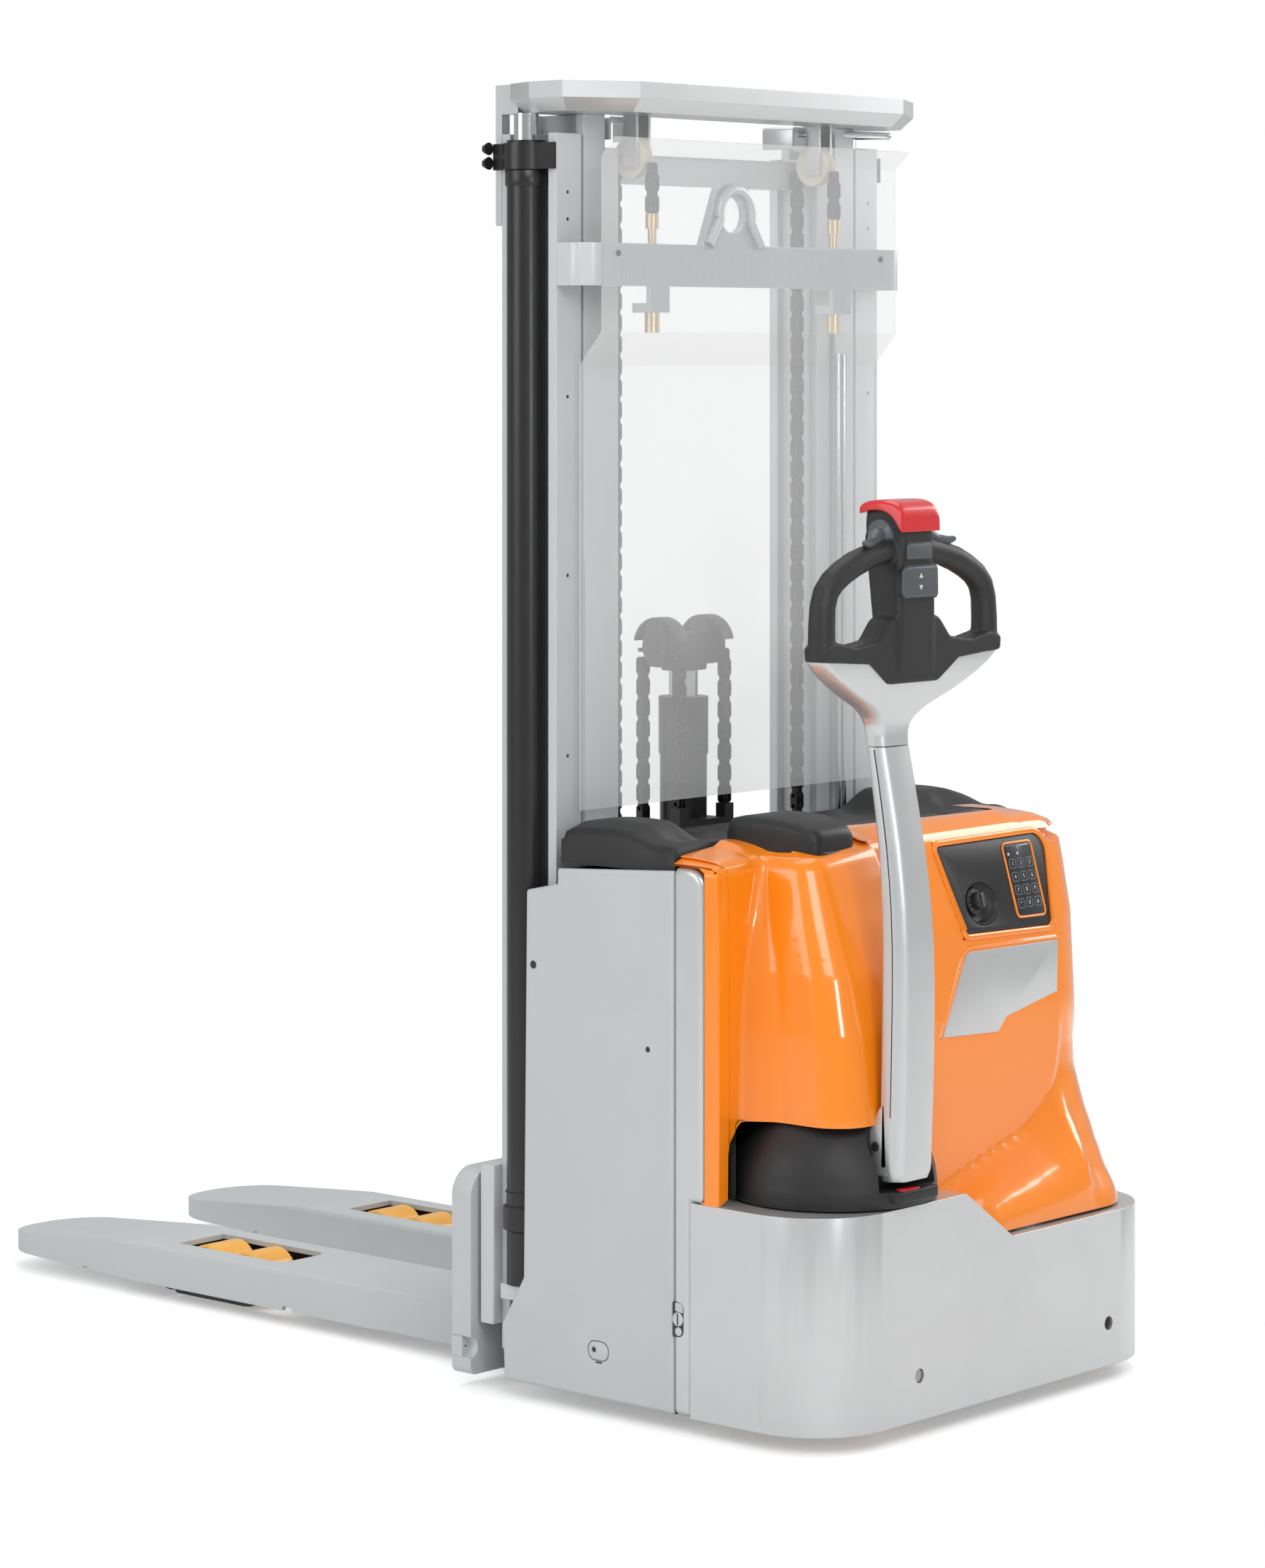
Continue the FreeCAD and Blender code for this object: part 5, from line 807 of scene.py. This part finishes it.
def tiller_controls():
    cx = STEER_X
    keys = [  # half widths and radii below and above, low and high z, rear and front y, edge, segments, steps
        ("slow_key", (28, 4, 28, 4), (27, 4, 27, 4), 1218, 1239, -15.5, -6, 1.6, 3, 4, gunmetal),
        ("slow_key_rim", (30, 5, 30, 5), (29, 5, 29, 5), 1216, 1241, -13.2, -5, 1.0, 2, 4, black_panel),
        ("lift_key", (41, 12, 41, 5), (38, 12, 40, 5), 1165, 1208, -17, -6, 3.5, 4, 6, gunmetal),
        ("lift_key_rim", (43, 13, 43, 6), (40, 13, 42, 6), 1163, 1210, -13.6, -5, 1.2, 2, 6, black_panel)]
    made = []
    for name, under, over, low, high, rear, front, edge, segments, steps, mat in keys:
        outline = rounded([(cx - under[0], low, under[1]), (cx + under[2], low, under[3]),
                           (cx + over[2], high, over[3]), (cx - over[0], high, over[1])], steps)
        made.append(plate(name, "XZ", rear, front, outline, mat, "tiller", edge=edge, segments=segments))
    for z, flip in ((1196, 1), (1178, -1)):
        made.append(plate("arrow", "XZ", -17.4, -16.5, [(cx - 4, z - 4 * flip), (cx + 4, z - 4 * flip),
                                                        (cx, z + 3 * flip)], cream, "tiller", edge=0))
    join("tiller_keys", made, "tiller")

    table = [  # y, bottom z, top z: the saddle from its rear edge to the front
        (-17, 1256, 1272), (-16, 1255, 1283), (-11, 1262, 1292), (-2, 1276, 1297.5), (12, 1284, 1300),
        (30, 1286, 1300), (46, 1284, 1298), (56, 1280, 1294), (60, 1280, 1288)]
    sections = [[at(p.x, y, p.y) for p in quad((low, 44, 2), (high, 43, 9), 5)] for y, low, high in table]
    saddle = rings("belly_saddle", sections, red, "tiller", sharp=60, replaces=("belly_button",), slot="red")
    sub = saddle.modifiers.new("round", "SUBSURF")
    sub.levels = sub.render_levels = 2

    levers = []
    path = [(40, 22, 1252), (54, 18, 1250), (72, 12, 1242), (90, 6, 1240), (102, 2, 1243)]
    for side, _ in SIDES:
        levers.append(tube("lever", [(cx + side * u, y, z) for u, y, z in path], [13, 12, 8, 6.5, 4],
                           gunmetal, "tiller", steps=18))
        root = [(0, 0), (0, 22), (10, 21), (15, 15), (15, 0)]
        levers.append(lathe("root", (cx + side * 34, 22, 1252), "X", root, gunmetal, "tiller", way=side))
    organic("thumb_levers", levers, gunmetal, "tiller", 1.8, 6)


def steering_dome():
    """The dome with its flat for the arm, the lip under the arm and the lip's insert."""
    profile = [  # z, radius
        (325.5, 20), (325.5, 145), (327, 146), (345, 146), (348.6, 145.8), (349.4, 145.6), (365, 143.5),
        (382, 138.5), (398, 131), (412, 122), (424, 113.5), (432, 107.5), (436.5, 103), (437, 100), (437, 10)]
    sections = []
    for z, r in profile:
        ring = [(STEER_X + r * math.cos(t), STEER_Y + r * math.sin(t)) for t in circle(128)]
        sections.append([at(x, max(y, 40 - 62 * smooth(abs(x - STEER_X), 50, 66)) if z > 349 else y, z)
                         for x, y in ring])
    outline = [(STEER_X - 50, 30, 2), (STEER_X - 46, -15, 9), (STEER_X + 46, -15, 9), (STEER_X + 50, 30, 2)]
    join("steering_dome_shell", [
        rings("dome", sections, black, "steering", sharp=34),
        plate("lip", "XY", 334, 349, rounded(outline, 6), black, "steering", edge=2.5, segments=3),
        plate("insert", "XY", 348, 351.5, box(STEER_X - 13, -4.5, 19, 6.5, 2, 3), red, "steering", edge=0.8),
    ], "steering", replaces=("steering_dome",), slot="black")


# Small details

def hole(x, y, z, axis, way, radius, body, rim=grey):
    """A small hole drawn as a black disc of painted shade in place of its depth, inside a thin turned rim,
    just proud of a face.
    """
    # the floor is a black disc of painted shade, barely below the face, standing in for the dark inside of
    # the hole
    floor = [(-1, 0), (-1, radius), (0.12, radius), (0.12, 0)]
    edge = [(-1, radius), (0.12, radius), (0.3, radius * 1.12), (0.2, radius * 1.3), (-1, radius * 1.34)]
    return [lathe("floor", (x, y, z), axis, floor, black_panel, body, steps=20, way=way),
            lathe("rim", (x, y, z), axis, edge, rim, body, steps=20, way=way, cap=False)]


def bolt(x, y, z, axis, way, radius, mat, body, height):
    """A six-sided screw head on a washer."""
    washer = [(0, 0), (0, radius * 1.35), (1.2, radius * 1.3), (1.2, 0)]
    head = [(1.0, 0), (1.0, radius), (height - 0.8, radius), (height, radius * 0.86), (height, radius * 0.5),
            (height - 1.5, radius * 0.45), (height - 1.5, 0)]
    return [lathe("washer", (x, y, z), axis, washer, mat, body, steps=24, way=way),
            lathe("head", (x, y, z), axis, head, mat, body, steps=6, sharp=20, way=way)]


COLLAR = [  # z, radius of the ring low on each side cylinder
    (236, 20), (236, 27), (240, 34), (272, 34), (274, 31), (274, 29), (292, 29), (292, 30.5), (294, 30.5),
    (294, 28)]
GLAND = [(1742, 28), (1742, 30.2), (1744, 31), (1764, 31), (1766, 30), (1766, 28)]  # z, radius at the top
HOSE_GUIDE = [  # x, y
    (225, 566), (262, 545), (300, 520), (345, 500), (368, 500), (380, 510), (380, 526), (365, 545),
    (330, 566)]
MAST_CHAIN_X, FREE_CHAIN_X = 210, 52


def mast_details():
    for side, tag in SIDES:
        pieces = []
        for z in (1733, 1694, 1439, 1182, 923):
            pieces += hole(side * 346, 523.9, z, "Y", -1, 2.6, "chassis", mast_grey)
        for z in (1797, 1776):
            pieces += bolt(side * 386, 641.5, z, "Y", 1, 7.0, cylinder_black, "chassis", 9.0)
        join("outer_mast_fasteners_" + tag, pieces, "chassis")
        join("cylinder_collars_" + tag, [
            lathe("ring", (side * 366, 586, 0), "Z", profile, cylinder_black, "chassis")
            for profile in (COLLAR, GLAND)], "chassis")
    screws = [bolt(x, 465.2, 1645, "Y", -1, 3.4, dark_steel, "chassis", 2.4) for x in (-302, 304)]
    join("crossbar_screws", screws[0] + screws[1], "chassis")
    cx, y, radius = -45, 463.5, 36.5
    arch = [(cx + radius * math.cos(t), y, 1706 + radius * math.sin(t)) for t in turned(-14, 208, 24)]
    tube("lifting_eye_bead", [(cx + 60, y, 1660), *arch, (cx - 60, y, 1660)], 8.5, mast_grey, "chassis")
    tube("hose_guide", [(x, y, 1838) for x, y in HOSE_GUIDE], 5.0, chrome, "middle_mast", steps=14)
    for side, tag in SIDES:
        x = side * MAST_CHAIN_X
        outer = [(x - 40, 1812, 0), (x - 40, 1846, 5), (x + 40, 1846, 5), (x + 40, 1812, 0),
                 (x + 35, 1812, 0), (x + 35, 1841, 3), (x - 35, 1841, 3), (x - 35, 1812, 0)]
        plate("sheave_yoke_" + tag, "XZ", 530, 590, rounded(outer, 4), silver, "middle_mast", edge=0.8)


PITCH = 15.875
CHAINS = {  # node, body, x of the strands, y, lower and upper end
    "mast_chain_links_front": ("lift_chain_front", "middle_mast", MAST_CHAIN_X, 554, 230, 1786),
    "mast_chain_links_rear": ("lift_chain_rear", "chassis", MAST_CHAIN_X, 481.5, 1704, 1786),
    "carriage_chain_links_rear": ("carriage_chain_rear", "inner_mast", FREE_CHAIN_X, 566, 823, 1061),
    "carriage_chain_links_front": ("carriage_chain_front", "free_lift", FREE_CHAIN_X, 638, 320, 1061),
}


def prism(verts, faces, low, high):
    """Adds a closed form between two outlines of equal length."""
    base, count = len(verts), len(low)
    verts += [*low, *high]
    faces += [tuple(base + k for k in range(count)), tuple(base + count + k for k in reversed(range(count)))]
    faces += [(base + k, base + (k + 1) % count, base + count + (k + 1) % count, base + count + k)
              for k in range(count)]


def chains():
    """Leaf chains: side plates in five columns that take turns, their ends round about the pins."""
    end = 5.5
    link = rounded([(-6, -end, 5.4), (6, -end, 5.4), (6, PITCH + end, 5.4), (-6, PITCH + end, 5.4)], 4)
    link = [(p.x * (1 - 0.16 * math.sin(math.pi * clamp(p.y / PITCH)) ** 2), p.y) for p in link]
    pin = [(3.2 * math.cos(t), 3.2 * math.sin(t)) for t in circle(8)]
    for name, (stands_for, body, middle, y, low, high) in CHAINS.items():
        verts, faces = [], []
        for x in (-middle, middle):
            for column in range(5):
                left = x - 9 + 3.65 * column
                z = low + end + (PITCH if column % 2 else 0)
                while z + PITCH + end <= high:
                    prism(verts, faces, *[[at(u, y + a, z + b) for a, b in link] for u in (left, left + 3.3)])
                    z += 2 * PITCH
            z = low + end
            while z <= high - 5:
                prism(verts, faces, *[[at(u, y + a, z + b) for a, b in pin] for u in (x - 9.0, x + 9.0)])
                z += PITCH
        mesh = bpy.data.meshes.new(name)
        mesh.from_pydata([tuple(v) for v in verts], [], faces)
        ride(place(name, mesh, chain_steel), body, (stands_for,))


def free_lift_head():
    """Block, axle and two sheave guards with their cheeks."""
    y, z = 602, 1061
    block = [(-30, 1024, 4), (30, 1024, 4), (34, 1044, 6), (26, 1082, 14), (-26, 1082, 14), (-34, 1044, 6)]
    cheek = rounded([(590, 1032, 8), (614, 1032, 8), (626, 1058, 12), (616, 1104, 12), (588, 1104, 12),
                     (578, 1058, 12)], 5)
    arch = [Vector((y + r * math.cos(t), z + r * math.sin(t))) for r, angles in (
        (45, turned(12, 156, 20)), (40.5, turned(168, -156, 20))) for t in angles]
    axle = [(-64, 0), (-64, 10), (64, 10), (64, 0)]
    pieces = [
        plate("block", "XZ", 582, 622, rounded(block, 5), dark_steel, "free_lift", edge=2.5, segments=3),
        lathe("axle", (0, y, z), "X", axle, dark_steel, "free_lift", steps=24)]
    for side, _ in SIDES:
        x = side * FREE_CHAIN_X
        pieces.append(plate("arch", "YZ", x - 13, x + 13, arch, dark_steel, "free_lift", edge=0.8))
        pieces += [plate("cheek", "YZ", face, face + side * 2.8, cheek, dark_steel, "free_lift", edge=0.6)
                   for face in (x - side * 15, x + side * 11.5)]
    join("free_lift_crosshead", pieces, "free_lift", replaces=("free_lift_head",))


def body_details():
    for way, tag in SIDES:
        x = way * 400

        def flat(name, low, high, outline, mat, edge):
            return plate(name, "YZ", x + way * low, x + way * high, outline, mat, "chassis", edge=edge)

        def button(name, y, z, profile, steps):
            return lathe(name, (x, y, z), "X", profile, silver, "chassis", steps=steps, way=way)

        cap = box(416, 93, 18.8, 12.8, 12, 8)
        pieces = [
            *hole(x, 541, 627, "X", way, 6.0, "chassis"), *hole(x, 323, 528, "X", way, 4.2, "chassis"),
            border("cap_line", "YZ", x - way * 1.5, x + way * 0.2, box(416, 93, 20, 14, 13, 8), cap,
                   dark_steel, "chassis", 0.0),
            flat("cap_face", -1.5, 0.35, cap, grey, 0.3),
            flat("cap_tab", -1, 0.2, box(415, 76.75, 6, 1.25), dark_steel, 0),
            *hole(x + way * 0.3, 424, 94, "X", way, 4.0, "chassis")]
        join("side_panel_details_" + tag, pieces, "chassis")
        well = rounded([(257, 134, 10), (277, 134, 3), (277, 183, 3), (257, 183, 12)], 6)
        wall = rounded([(257.5, 168, 2), (272, 170, 2), (272, 182, 2), (259, 182, 9)], 4)
        join("column_latch_" + tag, [
            flat("well", -6, 0.2, well, dark_steel, 0.2), flat("wall", -3, 0.8, wall, grey, 0.5),
            button("turn", 267, 159, [(-3, 0), (-3, 9.5), (0.9, 9.5), (1.3, 8.6), (1.3, 0)], 28),
            # the slot is a dark bar of painted shade standing in for the groove across the turn button
            flat("slot", 0, 1.9, box(267, 159, 0.9, 8), dark_steel, 0),
            button("foot", 266, 142, [(-3, 0), (-3, 6), (0.7, 6), (1.0, 5.2), (1.0, 0)], 20)], "chassis")
        arc = [(x - way * 15.2 * math.cos(t), 60 + 15.2 * math.sin(t)) for t in turned(-80, 160, 14)]
        web = plate("web", "XZ", 682, 702.8, [(x, 45), *arc, (x, 75)], grey, "carriage", edge=0)
        join("plate_notch_" + tag, [web, *hole(x - way * 7, 682, 60, "Y", -1, 1.8, "carriage")], "carriage")


# Camera, light and floor

def camera():
    data = bpy.data.cameras.new("camera")
    cam = bpy.data.objects.new("camera", data)
    bpy.context.scene.collection.objects.link(cam)
    cam.location = (-5.104, -4.7305, 1.5064)
    cam.rotation_euler = (math.radians(90), 0, math.radians(-48.51))
    data.sensor_fit = "VERTICAL"
    data.sensor_width = data.sensor_height = 36
    data.lens = 102.96
    data.shift_y = -0.277
    data.clip_end = 100
    bpy.context.scene.camera = cam


def seen_directly(tree):
    """One for rays that come from the camera, also through clear sheet."""
    rays = node(tree, "ShaderNodeLightPath")
    return node(tree, "ShaderNodeMath", rays.outputs["Is Camera Ray"], rays.outputs["Is Transmission Ray"],
                operation="MAXIMUM").outputs["Value"]


def floor():
    """A pale floor that fades to white away from the object."""
    mat, tree, bsdf = principled("floor_white", Base_Color=(0.9, 0.9, 0.9, 1), Emission_Color=(1, 1, 1, 1))
    spot = node(tree, "ShaderNodeTexCoord").outputs["Object"]
    grain = node(tree, "ShaderNodeTexNoise", Vector=spot, Scale=3.0)
    rough = node(tree, "ShaderNodeMapRange", grain.outputs["Fac"], To_Min=0.5, To_Max=0.6)
    shrink = node(tree, "ShaderNodeVectorMath", spot, (0.62, 1.12, 1.0), operation="DIVIDE")
    far = node(tree, "ShaderNodeVectorMath", shrink.outputs["Vector"], operation="LENGTH")
    fade = node(tree, "ShaderNodeMapRange", far.outputs["Value"], From_Min=0.85, From_Max=1.45,
                interpolation_type="SMOOTHSTEP")
    seen = seen_directly(tree)
    part = node(tree, "ShaderNodeMath", seen, fade.outputs["Result"], operation="MULTIPLY")
    lift = node(tree, "ShaderNodeMath", seen, 0.34, operation="MULTIPLY")
    tree.links.new(rough.outputs["Result"], bsdf.inputs["Roughness"])
    tree.links.new(lift.outputs["Value"], bsdf.inputs["Emission Strength"])
    white = node(tree, "ShaderNodeEmission", Strength=1.0)
    blend = node(tree, "ShaderNodeMixShader", part.outputs["Value"], bsdf.outputs["BSDF"],
                 white.outputs["Emission"])
    tree.links.new(blend.outputs["Shader"], tree.nodes["Material Output"].inputs["Surface"])
    bm = bmesh.new()
    bmesh.ops.create_grid(bm, x_segments=2, y_segments=2, size=14)
    mesh = bpy.data.meshes.new("floor")
    bm.to_mesh(mesh)
    bm.free()
    place("floor", mesh, mat)


def world():
    """A soft grey room, brightest just below the horizon, and white behind the object."""
    room = bpy.data.worlds.new("studio")
    bpy.context.scene.world = room
    room.use_nodes = True
    tree = room.node_tree
    tree.nodes.clear()
    split = node(tree, "ShaderNodeSeparateXYZ", node(tree, "ShaderNodeTexCoord").outputs["Generated"])
    up = node(tree, "ShaderNodeMapRange", split.outputs["Z"], From_Min=-1, From_Max=1)
    sky = node(tree, "ShaderNodeValToRGB", up.outputs["Result"])
    stops = sky.color_ramp.elements
    for spot, value in ((0.0, 0.55), (0.44, 1.15), (0.52, 0.72), (0.66, 1.0), (1.0, 1.0)):
        stop = stops.new(spot) if 0 < spot < 1 else stops[-1 if spot else 0]
        stop.color = (value, value, value, 1)
    lit = node(tree, "ShaderNodeBackground", sky.outputs["Color"], 0.55)
    white = node(tree, "ShaderNodeBackground", (1, 1, 1, 1), 1.0)
    mix = node(tree, "ShaderNodeMixShader", seen_directly(tree), lit.outputs["Background"],
               white.outputs["Background"])
    node(tree, "ShaderNodeOutputWorld", mix.outputs["Shader"])


LAMPS = {  # place, aim, size, watts
    "key": ((-2.6, -3.6, 3.6), (0, -0.5, 0.7), 2.2, 68),
    "left_fill": ((-4.5, 1.0, 2.4), (-0.3, 0, 0.8), 2.6, 50),
    "right_rim": ((3.4, -1.6, 2.6), (0.2, -0.5, 0.8), 1.8, 55),
    "top": ((0.3, 0.2, 4.4), (0, 0, 0.5), 3.0, 55),
    "strip": ((-1.7, -4.2, 1.5), (0, -0.8, 0.6), 0.5, 16)}


def lamps():
    for name, (spot, aim, size, power) in LAMPS.items():
        lamp = bpy.data.lights.new(name, "AREA")
        lamp.size = size
        lamp.energy = power
        obj = bpy.data.objects.new(name, lamp)
        obj.location = spot
        obj.rotation_euler = (Vector(aim) - Vector(spot)).to_track_quat("-Z", "Y").to_euler()
        bpy.context.scene.collection.objects.link(obj)


camera()
floor()
world()
lamps()
bpy.context.scene.view_settings.view_transform = "Standard"

rear_cover()
cover_recess()
steering_cap()
tray_cover()
control_panel()
tiller_arm()
tiller_neck()
tiller_head()
tiller_controls()
steering_dome()
mast_details()
chains()
free_lift_head()
body_details()

bpy.context.view_layer.update()
